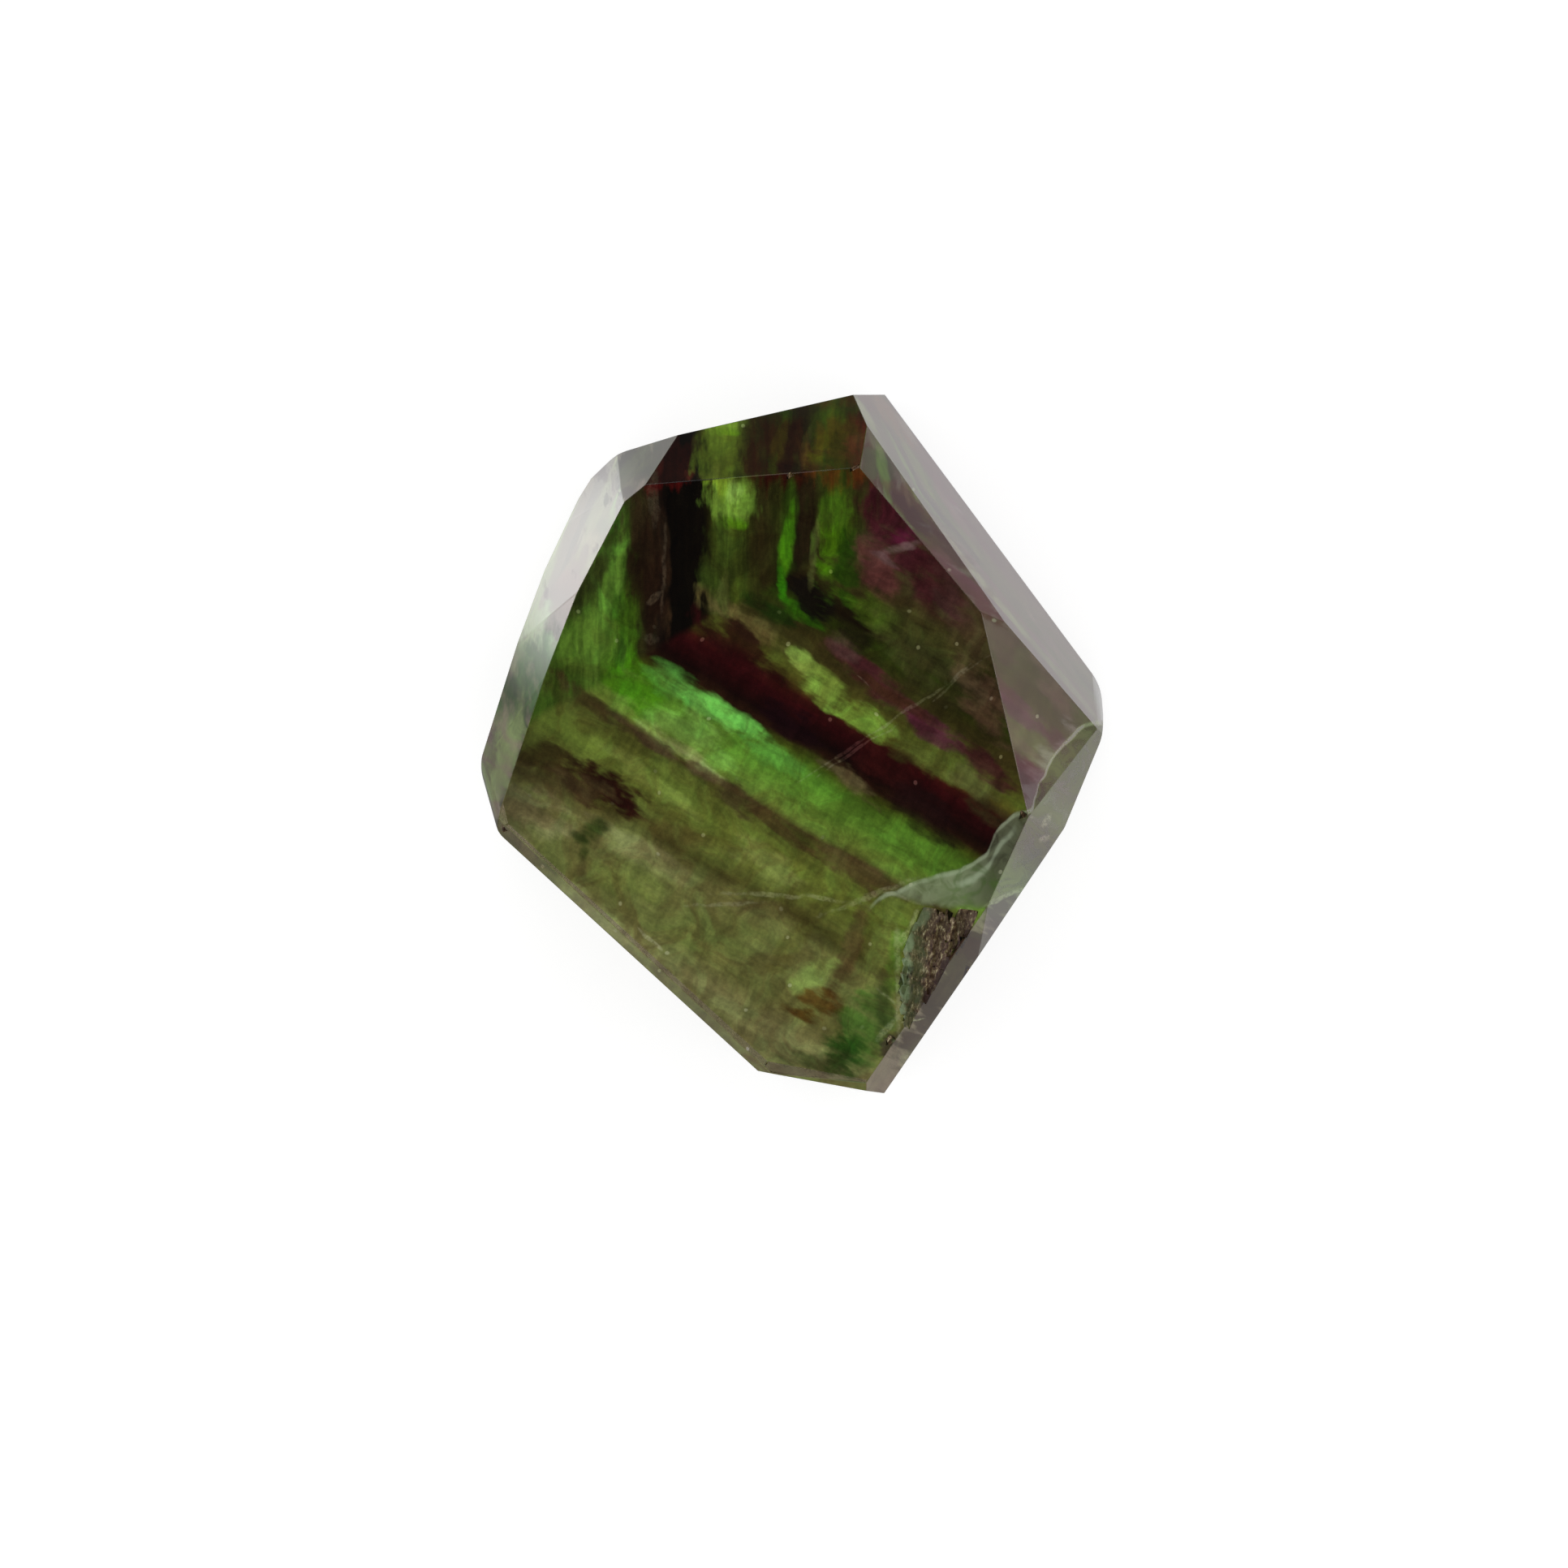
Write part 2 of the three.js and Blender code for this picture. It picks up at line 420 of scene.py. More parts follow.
def scaled(tree, vector, factor):
    """A vector or a colour times a number."""
    node = add_node(tree, "VectorMath", {0: vector, "Scale": factor}, operation="SCALE")
    return node.outputs[0]


def fade(tree, value, start, end, low=0.0, high=1.0):
    """Goes smoothly from low to high while a value goes from start to end."""
    node = add_node(tree, "MapRange", {"Value": value, "From Min": start, "From Max": end,
                                       "To Min": low, "To Max": high}, interpolation_type="SMOOTHSTEP")
    return node.outputs[0]


def blend(tree, factor, low, high):
    """A number between low and high."""
    return add_node(tree, "Mix", {0: factor, 2: low, 3: high}, data_type="FLOAT").outputs[0]


# %% Helpers: laying colours
def lay_over(tree, factor, under, over):
    """Lays one colour over another."""
    node = tree.nodes.new("ShaderNodeMix")
    node.data_type = "RGBA"
    join(tree, factor, node.inputs[0])
    join(tree, under, node.inputs[6])
    join(tree, over, node.inputs[7])
    return node.outputs[2]


def ramp(tree, value, stops):
    """A row of colours along a value. Each stop is a place from 0 to 1 and a screen colour."""
    node = tree.nodes.new("ShaderNodeValToRGB")
    band = node.color_ramp
    while len(band.elements) < len(stops):
        band.elements.new(0.5)
    for element, (place, color) in zip(band.elements, stops):
        element.position = place
        element.color = linear(color)
    join(tree, value, node.inputs[0])
    return node.outputs[0]


# %% Helpers: noise and groups
def noise(tree, vector, size, detail=3.0, output="Fac", dimensions="2D", **inputs):
    """Noise with lumps of a size in millimetres. In 2D it is alike at every depth of the stone."""
    values = {"Vector": vector, "Scale": 1 / size, "Detail": detail, **inputs}
    return add_node(tree, "TexNoise", values, noise_dimensions=dimensions).outputs[output]


def new_group(name, inputs, outputs):
    """A shader node group with named inputs and outputs."""
    tree = bpy.data.node_groups.new(name, "ShaderNodeTree")
    for label, kind, default in inputs:
        socket = tree.interface.new_socket(label, in_out="INPUT", socket_type=kind)
        socket.default_value = default
    for label, kind in outputs:
        tree.interface.new_socket(label, in_out="OUTPUT", socket_type=kind)
    return tree, tree.nodes.new("NodeGroupInput").outputs, tree.nodes.new("NodeGroupOutput").inputs


def use_group(tree, group, inputs=None):
    """Places a group in a tree, with its inputs."""
    node = tree.nodes.new("ShaderNodeGroup")
    node.node_tree = group
    for name, value in (inputs or {}).items():
        join(tree, value, node.inputs[name])
    return node.outputs


# %% [markdown]
# ## Growth planes
# Fluorite grows in cubes, layer on layer, and each layer has the colour of its day. Here two cube
# faces meet at a bend: one set of layers stands upright, the other runs down to the right. The place
# of a point across the layers is the larger of its depths behind the two faces, which gives the bend
# its clean mitre. The layers lean apart by a few degrees from the front to the back. A noise that
# shifts every point a little keeps the layers from looking ruled, and lumps drawn out along the layers
# will fray the strokes that are painted on them.

# %% Where the layers lie
BEND = Vector((5.54, 14.86))            # where the mitre meets the outermost layer, mm
SLOPE = Vector((-0.507, -0.862))        # across the layers that run down to the right
FAN_AXIS = Vector((-0.62, -2.49))       # the layers fan out from this line through the stone
FAN = 0.048                             # how much wider they spread at the back
MITRE = 0.35                            # half the width of the blend at the bend, mm
ALONG_SHARE = 0.35                      # along the layers the lumps are 1 / 0.35 times as long
FRAYING = 4.6                           # how strongly the lumps fray a stroke
bend = math.degrees(SLOPE.angle(Vector((-1, 0))))
print("the layers bend by", round(bend, 1), "degrees")

# %% Group: growth planes
planes, _, result = new_group("growth_planes", [], [
    ("Across", "NodeSocketFloat"), ("Upright", "NodeSocketFloat"),
    ("Place", "NodeSocketVector"), ("Lumps", "NodeSocketFloat"), ("Depth", "NodeSocketFloat")])
spot = add_node(planes, "TexCoord").outputs["Object"]
spot = add_node(planes, "Mapping", {"Vector": spot, "Scale": (1 / MM,) * 3,
                                    "Location": MIDDLE}).outputs[0]
depth = sums(planes, "SUBTRACT", TOP, add_node(planes, "SeparateXYZ", {0: spot}).outputs[2])
spread = sums(planes, "MULTIPLY_ADD", depth, FAN / THICKNESS, 1.0)
axis = (FAN_AXIS.x, FAN_AXIS.y, 0)
drawn_in = vectors(planes, "DIVIDE", vectors(planes, "SUBTRACT", spot, axis), spread)
flat = vectors(planes, "MULTIPLY", vectors(planes, "ADD", drawn_in, axis), (1, 1, 0))
print("growth planes: they spread by", 100 * FAN, "per cent from front to back")

# %% Helpers: wandering and growth
def wander(size, reach, detail):
    """A shift that wanders by up to a reach, over lumps of a size."""
    lumps = noise(planes, flat, size, detail, "Color")
    return scaled(planes, vectors(planes, "SUBTRACT", lumps, (0.5, 0.5, 0.5)), 2 * reach)


def growth(point):
    """How far a point lies across and along the layers, and whether it is in the upright ones."""
    from_bend = vectors(planes, "SUBTRACT", point, (BEND.x, BEND.y, 0))
    behind_upright = vectors(planes, "DOT_PRODUCT", from_bend, (-1, 0, 0))
    behind_sloped = vectors(planes, "DOT_PRODUCT", from_bend, (SLOPE.x, SLOPE.y, 0))
    along_upright = vectors(planes, "DOT_PRODUCT", from_bend, (0, 1, 0))
    along_sloped = vectors(planes, "DOT_PRODUCT", from_bend, (-SLOPE.y, SLOPE.x, 0))
    upright = fade(planes, sums(planes, "SUBTRACT", behind_upright, behind_sloped), -MITRE, MITRE)
    along = blend(planes, upright, along_sloped, along_upright)
    return sums(planes, "SMOOTH_MAX", behind_upright, behind_sloped, MITRE), along, upright


# %% Outputs of the growth planes
across, along, _ = growth(flat)
along = sums(planes, "MULTIPLY", along, ALONG_SHARE)
drawn_out = add_node(planes, "CombineXYZ", {0: across, 1: along}).outputs[0]
lumps = noise(planes, drawn_out, 0.9, 3.0, Roughness=0.56)
lumps = sums(planes, "MULTIPLY_ADD", lumps, FRAYING, -FRAYING / 2)
across, _, upright = growth(vectors(planes, "ADD", flat, wander(5.0, 0.36, 1.0)))
place = vectors(planes, "ADD", flat, wander(1.6, 0.2, 1.0))
place = vectors(planes, "MULTIPLY_ADD", place, (1, 1, 0), (0, 0, 1))
join(planes, across, result["Across"])
join(planes, upright, result["Upright"])
join(planes, place, result["Place"])
join(planes, lumps, result["Lumps"])
join(planes, depth, result["Depth"])
print("growth planes:", len(planes.nodes), "nodes")

# %% [markdown]
# ## Colour of the layers
# The same layer is greener where it stands upright and redder on the slope, so each set gets its own
# row of colours, read from the outermost layer inwards, with each layer's place in millimetres. Bands
# could be painted as flat stripes, but a colour ramp blends each layer into the next, as growth does.

# %% Rows of layer colours
FIRST, LAST = -4.0, 38.0                # the stretch of layers that the rows cover, mm
UPRIGHT_LAYERS = [
    (-3.2, (62, 32, 32)), (-1.6, (58, 24, 26)), (0.0, (60, 40, 28)), (0.7, (48, 48, 18)),
    (2.4, (46, 54, 11)), (3.3, (50, 60, 14)), (4.1, (34, 30, 8)), (5.2, (24, 20, 6)),
    (5.6, (36, 50, 7)), (6.0, (40, 58, 8)), (6.5, (40, 42, 10)), (7.6, (36, 32, 8)),
    (8.6, (46, 50, 13)), (9.4, (62, 74, 20)), (10.2, (66, 82, 24)), (10.8, (52, 58, 14)),
    (11.2, (26, 22, 4)), (11.6, (9, 5, 2)), (13.9, (6, 3, 1)), (14.5, (18, 10, 6)),
    (15.2, (42, 36, 17)), (16.0, (40, 44, 11)), (17.4, (54, 92, 22)), (18.6, (74, 104, 34)),
    (20.5, (54, 76, 20)), (24.0, (70, 96, 30)),
]
SLOPED_LAYERS = [
    (-3.0, (60, 34, 32)), (1.0, (60, 46, 29)), (3.5, (56, 48, 23)), (4.8, (50, 48, 17)),
    (5.6, (30, 24, 7)), (6.4, (23, 15, 4)), (7.2, (40, 52, 8)), (8.4, (46, 44, 14)),
    (9.6, (60, 54, 22)), (10.6, (72, 72, 26)), (11.3, (82, 90, 31)), (12.0, (72, 64, 22)),
    (12.5, (54, 16, 11)), (13.1, (44, 6, 8)), (14.5, (20, 4, 3)), (15.3, (38, 20, 8)),
    (15.9, (62, 74, 18)), (16.8, (82, 122, 36)), (18.0, (90, 130, 42)), (19.5, (102, 124, 48)),
    (20.1, (70, 62, 30)), (20.6, (80, 86, 34)), (22.6, (100, 112, 44)), (24.6, (90, 93, 41)),
    (25.3, (72, 70, 30)), (26.6, (108, 110, 60)), (28.6, (102, 104, 56)), (30.6, (104, 106, 56)),
    (32.4, (118, 116, 72)), (35.5, (102, 102, 60)),
]
print("layers:", len(UPRIGHT_LAYERS), "upright,", len(SLOPED_LAYERS), "sloped")

# %% Group: layer colours
def layer_stops(layers):
    """A row's places as shares of the stretch that it covers."""
    return [((place - FIRST) / (LAST - FIRST), color) for place, color in layers]


layers, given, result = new_group(
    "layer_colors", [("Across", "NodeSocketFloat", 0.0), ("Upright", "NodeSocketFloat", 0.0),
                     ("Place", "NodeSocketVector", (0, 0, 0))],
    [("Color", "NodeSocketColor"), ("Texture", "NodeSocketVector")])
share = add_node(layers, "MapRange", {"Value": given["Across"], "From Min": FIRST,
                                      "From Max": LAST}).outputs[0]
rows = [ramp(layers, share, layer_stops(colors)) for colors in (SLOPED_LAYERS, UPRIGHT_LAYERS)]
join(layers, lay_over(layers, given["Upright"], *rows), result["Color"])

# %% [markdown]
# Over the rows go four faint unevennesses: fine threads along the layers, thin sheets that cross them
# steeply, soft mottling and a fine grain. Each is a noise, and their product is kept apart from the
# colour, so that it can be laid on after the strokes.

# %% Unevenness of the layers
WARM, COOL = (1.08, 0.96, 0.97, 1), (0.94, 1.04, 1.0, 1)    # the mottling turns redder or greener


def streaks(angle, thin, length, low, high):
    """Noise that is drawn out along a direction in degrees, as a factor from low to high."""
    drawn = {"Vector": given["Place"], "Rotation": (0, 0, math.radians(angle)),
             "Scale": (1, thin / length, 1)}
    drawn = add_node(layers, "Mapping", drawn, vector_type="TEXTURE").outputs[0]
    return fade(layers, noise(layers, drawn, length, 2.0, Roughness=0.65), 0.3, 0.7, low, high)


upright_threads = streaks(90, 0.5, 5.0, 0.78, 1.22)
sloped_threads = streaks(-31, 0.8, 4.0, 0.85, 1.15)
threads = blend(layers, given["Upright"], sloped_threads, upright_threads)
sheets = streaks(64, 1.0, 4.0, 0.84, 1.16)
clouds = noise(layers, given["Place"], 3.0, 4.0, Roughness=0.62, Distortion=0.8)
clouds = fade(layers, clouds, 0.34, 0.66)
mottle = sums(layers, "MULTIPLY_ADD", clouds, 0.44, 0.78)
grain = noise(layers, given["Place"], 0.34, 2.0, Roughness=0.75)
grain = fade(layers, grain, 0.25, 0.75, 0.88, 1.12)
lines = sums(layers, "MULTIPLY", threads, sheets)
unevenness = sums(layers, "MULTIPLY", lines, sums(layers, "MULTIPLY", mottle, grain))
tint = lay_over(layers, clouds, WARM, COOL)
join(layers, scaled(layers, tint, unevenness), result["Texture"])
print("layer colours:", len(layers.nodes), "nodes")

# %% [markdown]
# ## Strokes
# Within the layers the colour comes and goes: a glow here, a dark knee there, a thin crack. Each of
# these is one brush stroke, a soft oval that is turned, bowed a little and given lumpy edges. A few
# strokes also paint light and shade into the colour: painted highlights and a painted shade, marked
# where they stand. An oval is a sum of two products, one along and one across it, so a hundred strokes
# still cost very little.

# %% Groups: straight and bowed stroke
def stroke_group(name, bowed):
    """A node group that turns a place into the mask of one stroke."""
    tree, given, result = new_group(
        name, [("Place", "NodeSocketVector", (0, 0, 1)), ("Lumps", "NodeSocketFloat", 0.0),
               ("Lengthwise", "NodeSocketVector", (1, 0, 0)),
               ("Crosswise", "NodeSocketVector", (0, 1, 0)),
               ("Bow", "NodeSocketFloat", 0.0), ("Inner", "NodeSocketFloat", 0.5),
               ("Outer", "NodeSocketFloat", 1.5), ("Strength", "NodeSocketFloat", 1.0)],
        [("Mask", "NodeSocketFloat")])
    run = vectors(tree, "DOT_PRODUCT", given["Place"], given["Lengthwise"])
    aside = vectors(tree, "DOT_PRODUCT", given["Place"], given["Crosswise"])
    if bowed:
        aside = sums(tree, "MULTIPLY_ADD", sums(tree, "MULTIPLY", run, run), given["Bow"], aside)
    reach = sums(tree, "MULTIPLY_ADD", run, run, given["Lumps"])
    reach = sums(tree, "MULTIPLY_ADD", aside, aside, reach)
    join(tree, fade(tree, reach, given["Inner"], given["Outer"], given["Strength"], 0.0), result["Mask"])
    return tree


STRAIGHT = stroke_group("straight_stroke", False)
BOWED = stroke_group("bowed_stroke", True)

# %% Helpers: one stroke, many strokes
SOFT_INSIDE, SOFT_OUTSIDE = 1.7, 1.9    # how far a soft edge reaches into an oval and out of it


def stroke_mask(tree, where, middle, size, turn, soft, strength, bow=0.0):
    """The mask of one stroke, from its middle and half sizes in millimetres and its turn in degrees."""
    angle = math.radians(turn)
    lengthwise = Vector((math.cos(angle), math.sin(angle))) / size[0]
    crosswise = Vector((-math.sin(angle), math.cos(angle))) / size[1]
    middle = Vector(middle)
    return use_group(tree, BOWED if bow else STRAIGHT, {
        "Place": where["Place"], "Lumps": where["Lumps"], "Bow": bow, "Strength": strength,
        "Lengthwise": (*lengthwise, -lengthwise.dot(middle)),
        "Crosswise": (*crosswise, -crosswise.dot(middle)),
        "Inner": 1 - SOFT_INSIDE * soft, "Outer": 1 + SOFT_OUTSIDE * soft})["Mask"]


def paint(tree, where, color, strokes):
    """Lays strokes over a colour, one after the other."""
    for middle, size, turn, soft, over, strength, *bow in strokes:
        mask = stroke_mask(tree, where, middle, size, turn, soft, strength, *bow)
        color = lay_over(tree, mask, color, linear(over))
    return color


# %% [markdown]
# The strokes follow the growth of the crystal. Each row gives a stroke's middle, its half length and
# half width, its turn, how soft its edge is, its colour and how strongly it covers what lies under it.

# %% Strokes of the upright layers
UPRIGHT_STROKES = {
    # yellow_green_highlight and yellow_highlight_heart are partly the green layer's colour and partly a
    # painted highlight, a bright spot of light in that layer.
    "yellow_green_highlight": ((-4.2, 16.4), (1.51, 1.51), 90, 0.5, (122, 158, 56), 0.8),
    "yellow_highlight_heart": ((-3.9, 17), (0.86, 0.43), 90, 0.5, (158, 192, 92), 0.6),
    "vivid_foot": ((-3.9, 14.8), (0.81, 0.49), 0, 0.5, (84, 132, 8), 0.7),
    "olive_column": ((-4.7, 12.2), (2.7, 1.3), 90, 0.5, (48, 60, 17), 0.8),
    "pale_thread": ((-4.6, 10), (1.41, 0.32), 88, 0.6, (92, 100, 46), 0.5),
    "brown_column": ((-2.1, 13.8), (4.32, 0.7), 88, 0.6, (42, 36, 13), 0.55),
    "vivid_thread": ((-0.4, 13.4), (2.38, 0.38), 80, 0.6, (68, 122, 12), 0.8),
    "vivid_knee": ((-0.8, 10.9), (1.19, 0.32), 96, 0.5, (48, 116, 8), 0.85),
    "vivid_slope": ((0.5, 8.9), (1.62, 0.43), -38, 0.5, (42, 88, 6), 0.8),
    "dark_thread": ((0.7, 15.1), (3.89, 0.59), 86, 0.4, (32, 20, 8), 0.75),
    "dark_bend": ((1.4, 9.8), (2.16, 0.81), -42, 0.4, (15, 11, 6), 0.95),
    "dark_slope": ((4, 7.6), (1.84, 0.54), -40, 0.5, (26, 20, 8), 0.75),
    "pane": ((2.8, 13.6), (3.35, 1.08), 86, 0.5, (62, 92, 15), 0.75),
    "pane_glow": ((2.4, 13.3), (1.41, 0.7), 80, 0.6, (72, 118, 8), 0.7),
    "pane_shade": ((3.6, 11.8), (2.38, 0.7), 90, 0.4, (30, 58, 4), 0.8),
    "pane_edge": ((1.4, 12.9), (1.73, 0.22), 84, 0.6, (92, 98, 50), 0.4),
    "pane_foot": ((5.4, 8.9), (1.62, 0.86), -36, 0.7, (78, 112, 22), 0.5),
    "left_streak": ((-11.9, 11.9), (3.57, 0.59), 77, 0.5, (92, 132, 46), 0.75),
    "left_deep": ((-10.8, 8.4), (2.38, 0.76), 84, 0.5, (70, 112, 20), 0.6),
    "left_edge": ((-13.2, 11.6), (3.78, 0.65), 62, 0.5, (40, 44, 16), 0.85),
    "crumb_zone": ((-9.8, 12.4), (5.19, 1.14), 92, 0.4, (34, 19, 9), 0.9),
    "crumb_top": ((-10.4, 16.1), (1.84, 0.86), 70, 0.5, (44, 36, 18), 0.75),
    "vein_shade": ((-8.5, 11.6), (3.24, 0.32), 91, 0.6, (60, 40, 24), 0.4),
}

# %% Strokes of the top bevel
BEVEL_STROKES = {
    "bevel_maroon": ((-8.8, 19.1), (1.95, 1.95), 90, 0.4, (72, 10, 8), 0.97),
    # bevel_green_highlight is partly the green layer and partly a painted highlight, a bright stripe of
    # light on the top bevel.
    "bevel_green_highlight": ((-4.8, 19.7), (2.27, 1.46), 90, 0.4, (134, 166, 46), 0.92),
    # bevel_brown_shade is partly the brown layer and partly painted shade: its near-black brown stands in
    # for a shadow and a dark reflection lying on the top bevel.
    "bevel_brown_shade": ((-1.2, 19.6), (2.16, 2.27), 90, 0.5, (44, 10, 4), 0.98),
    "bevel_olive": ((3.2, 19.7), (2.05, 2.27), 90, 0.5, (84, 44, 12), 0.94),
    "bevel_corner": ((6, 20.3), (1.3, 0.86), 80, 0.5, (120, 108, 76), 0.8),
}

# %% Strokes of the purple corner
PURPLE_STROKES = {
    "purple_top": ((6.4, 15.1), (2.7, 1.3), -56, 0.5, (58, 16, 26), 0.9),
    "purple_low": ((8.9, 10.9), (3.57, 1.3), -53, 0.5, (60, 20, 27), 0.88),
    "purple_heart": ((7.3, 14.1), (0.76, 0.65), 0, 0.5, (76, 18, 42), 0.7),
    "mauve_haze": ((5.8, 11.8), (2.05, 1.03), -62, 0.6, (94, 48, 50), 0.7),
    "brown_edge": ((11.2, 8.2), (3.03, 0.92), -63, 0.6, (66, 42, 38), 0.65),
    "smudge": ((7.1, 13.2), (1.08, 0.27), 18, 0.7, (118, 94, 92), 0.5),
    "smudge_tail": ((6.1, 12.4), (0.86, 0.22), -30, 0.7, (100, 78, 80), 0.45),
    "haze": ((8.4, 6.9), (3.24, 1.84), -36, 0.6, (74, 80, 36), 0.55),
    "haze_dark": ((10.1, 4.2), (3.03, 1.41), -34, 0.6, (48, 42, 20), 0.6),
    "haze_light": ((11.8, 6.5), (1.62, 1.41), -50, 0.6, (78, 72, 36), 0.45),
    "haze_edge": ((12.7, 3.0), (2.49, 1.1), -58, 0.6, (82, 62, 44), 0.75),
}

# %% Strokes of the sloped layers
SLOPED_STROKES = {
    "ridge": ((-3.3, 8.4), (3.03, 0.76), -33, 0.5, (102, 92, 50), 0.8),
    "ridge_head": ((-5.1, 9.3), (0.86, 0.54), -20, 0.6, (118, 112, 66), 0.5),
    "hollow": ((-1.7, 9.2), (1.73, 0.65), -30, 0.5, (24, 42, 5), 0.85),
    "red_edge": ((-3.4, 6.5), (3.14, 1.08), -38, 0.5, (42, 8, 9), 0.88),
    "red_heart": ((-2.6, 4.8), (2.16, 0.76), -38, 0.6, (46, 6, 9), 0.7),
    "light_head": ((0.6, 5.6), (1.3, 0.7), -60, 0.5, (138, 164, 72), 0.8),
    "light_bow": ((2, 3.9), (1.73, 0.86), -42, 0.6, (126, 158, 62), 0.8),
    "light_knot": ((4.9, 1.6), (1.95, 0.76), -34, 0.6, (122, 158, 58), 0.8),
    "light_tail": ((9.3, -0.8), (3.46, 0.92), -28, 0.5, (86, 98, 40), 0.75),
    "light_end": ((12.2, -2.5), (1.95, 0.7), -30, 0.6, (94, 98, 52), 0.65),
    "magenta": ((5.4, 4.4), (3.35, 0.7), -38, 0.6, (70, 26, 34), 0.88),
    "magenta_head": ((3.3, 6.6), (0.97, 0.65), -30, 0.7, (92, 68, 62), 0.5),
    "magenta_mid": ((9.4, 1), (2.05, 0.76), -29, 0.5, (80, 30, 50), 0.8),
    "magenta_end": ((13, -1.4), (2.05, 0.76), -42, 0.5, (62, 20, 29), 0.8),
    "brown_under": ((6.2, 3.6), (3.46, 0.32), -33, 0.6, (56, 33, 15), 0.7),
    "black_heart": ((-0.1, 1.5), (2.38, 0.97), -36, 0.5, (22, 4, 8), 0.8),
    "dark_mid": ((6.2, -1.5), (1.62, 1.41), -30, 0.6, (50, 13, 11), 0.6),
    "dark_end": ((8.5, -4.3), (2.81, 1.19), -34, 0.5, (26, 8, 8), 0.75),
    "wedge": ((3.9, -2.3), (1.95, 0.59), -36, 0.5, (90, 78, 50), 0.8),
    "corner": ((13.4, -4.4), (1.73, 0.76), -36, 0.6, (44, 42, 20), 0.65),
    "green_tail": ((7.7, -7), (2.7, 0.7), -30, 0.6, (76, 106, 32), 0.6),
}

# %% Strokes of the green layers
GREEN_STROKES = {
    "glow_deep": ((-10.6, 4.2), (2.27, 1.51), -35, 0.6, (66, 120, 12), 0.85),
    "glow_left": ((-13.6, 6.9), (1.84, 1.73), -40, 0.6, (84, 108, 36), 0.6),
    # turquoise and turquoise_highlight_head are partly the green band's colour and partly a painted
    # highlight, light glinting in the band.
    "turquoise_highlight": ((-5.1, 2.4), (3.14, 0.65), -31, 0.7, (120, 204, 88), 0.7),
    "turquoise_highlight_head": ((-8.2, 4.4), (1.62, 0.81), -36, 0.7, (100, 180, 74), 0.5),
    "lime": ((-7, 1.2), (2.27, 0.97), -20, 0.6, (126, 176, 78), 0.6),
    "lime_low": ((-5.3, -0.5), (1.62, 0.65), -40, 0.5, (122, 168, 72), 0.6),
    "sea_green": ((-1.6, -0.3), (2.16, 0.76), -38, 0.6, (90, 158, 62), 0.5),
    "pale_fringe": ((-7.4, -0.3), (2.7, 0.49), -33, 0.5, (148, 166, 94), 0.7),
    "fringe_line": ((-6.4, -0.9), (1.95, 0.14), -33, 0.7, (160, 170, 110), 0.45),
    "thread_a": ((-13.4, 2.9), (3.03, 0.49), -37, 0.5, (60, 50, 25), 0.85),
    "thread_b": ((-9.6, 0.4), (2.49, 0.43), -32, 0.5, (72, 59, 38), 0.85),
    "thread_c": ((-6, -1.7), (1.73, 0.38), -30, 0.5, (88, 75, 50), 0.8),
    "thread_d": ((-3.8, -3.5), (1.41, 0.81), -42, 0.5, (66, 54, 30), 0.85),
    "thread_e": ((-0.8, -5.5), (3.24, 0.38), -37, 0.5, (70, 56, 29), 0.8),
    "thread_f": ((4.6, -8.4), (3.35, 0.65), -28, 0.6, (78, 62, 36), 0.75),
    "shade_a": ((-14.7, 2.7), (2.16, 0.76), -37, 0.6, (76, 80, 34), 0.5),
    "band_light": ((-9.6, -2.2), (3.24, 0.49), -38, 0.6, (128, 142, 66), 0.6),
}

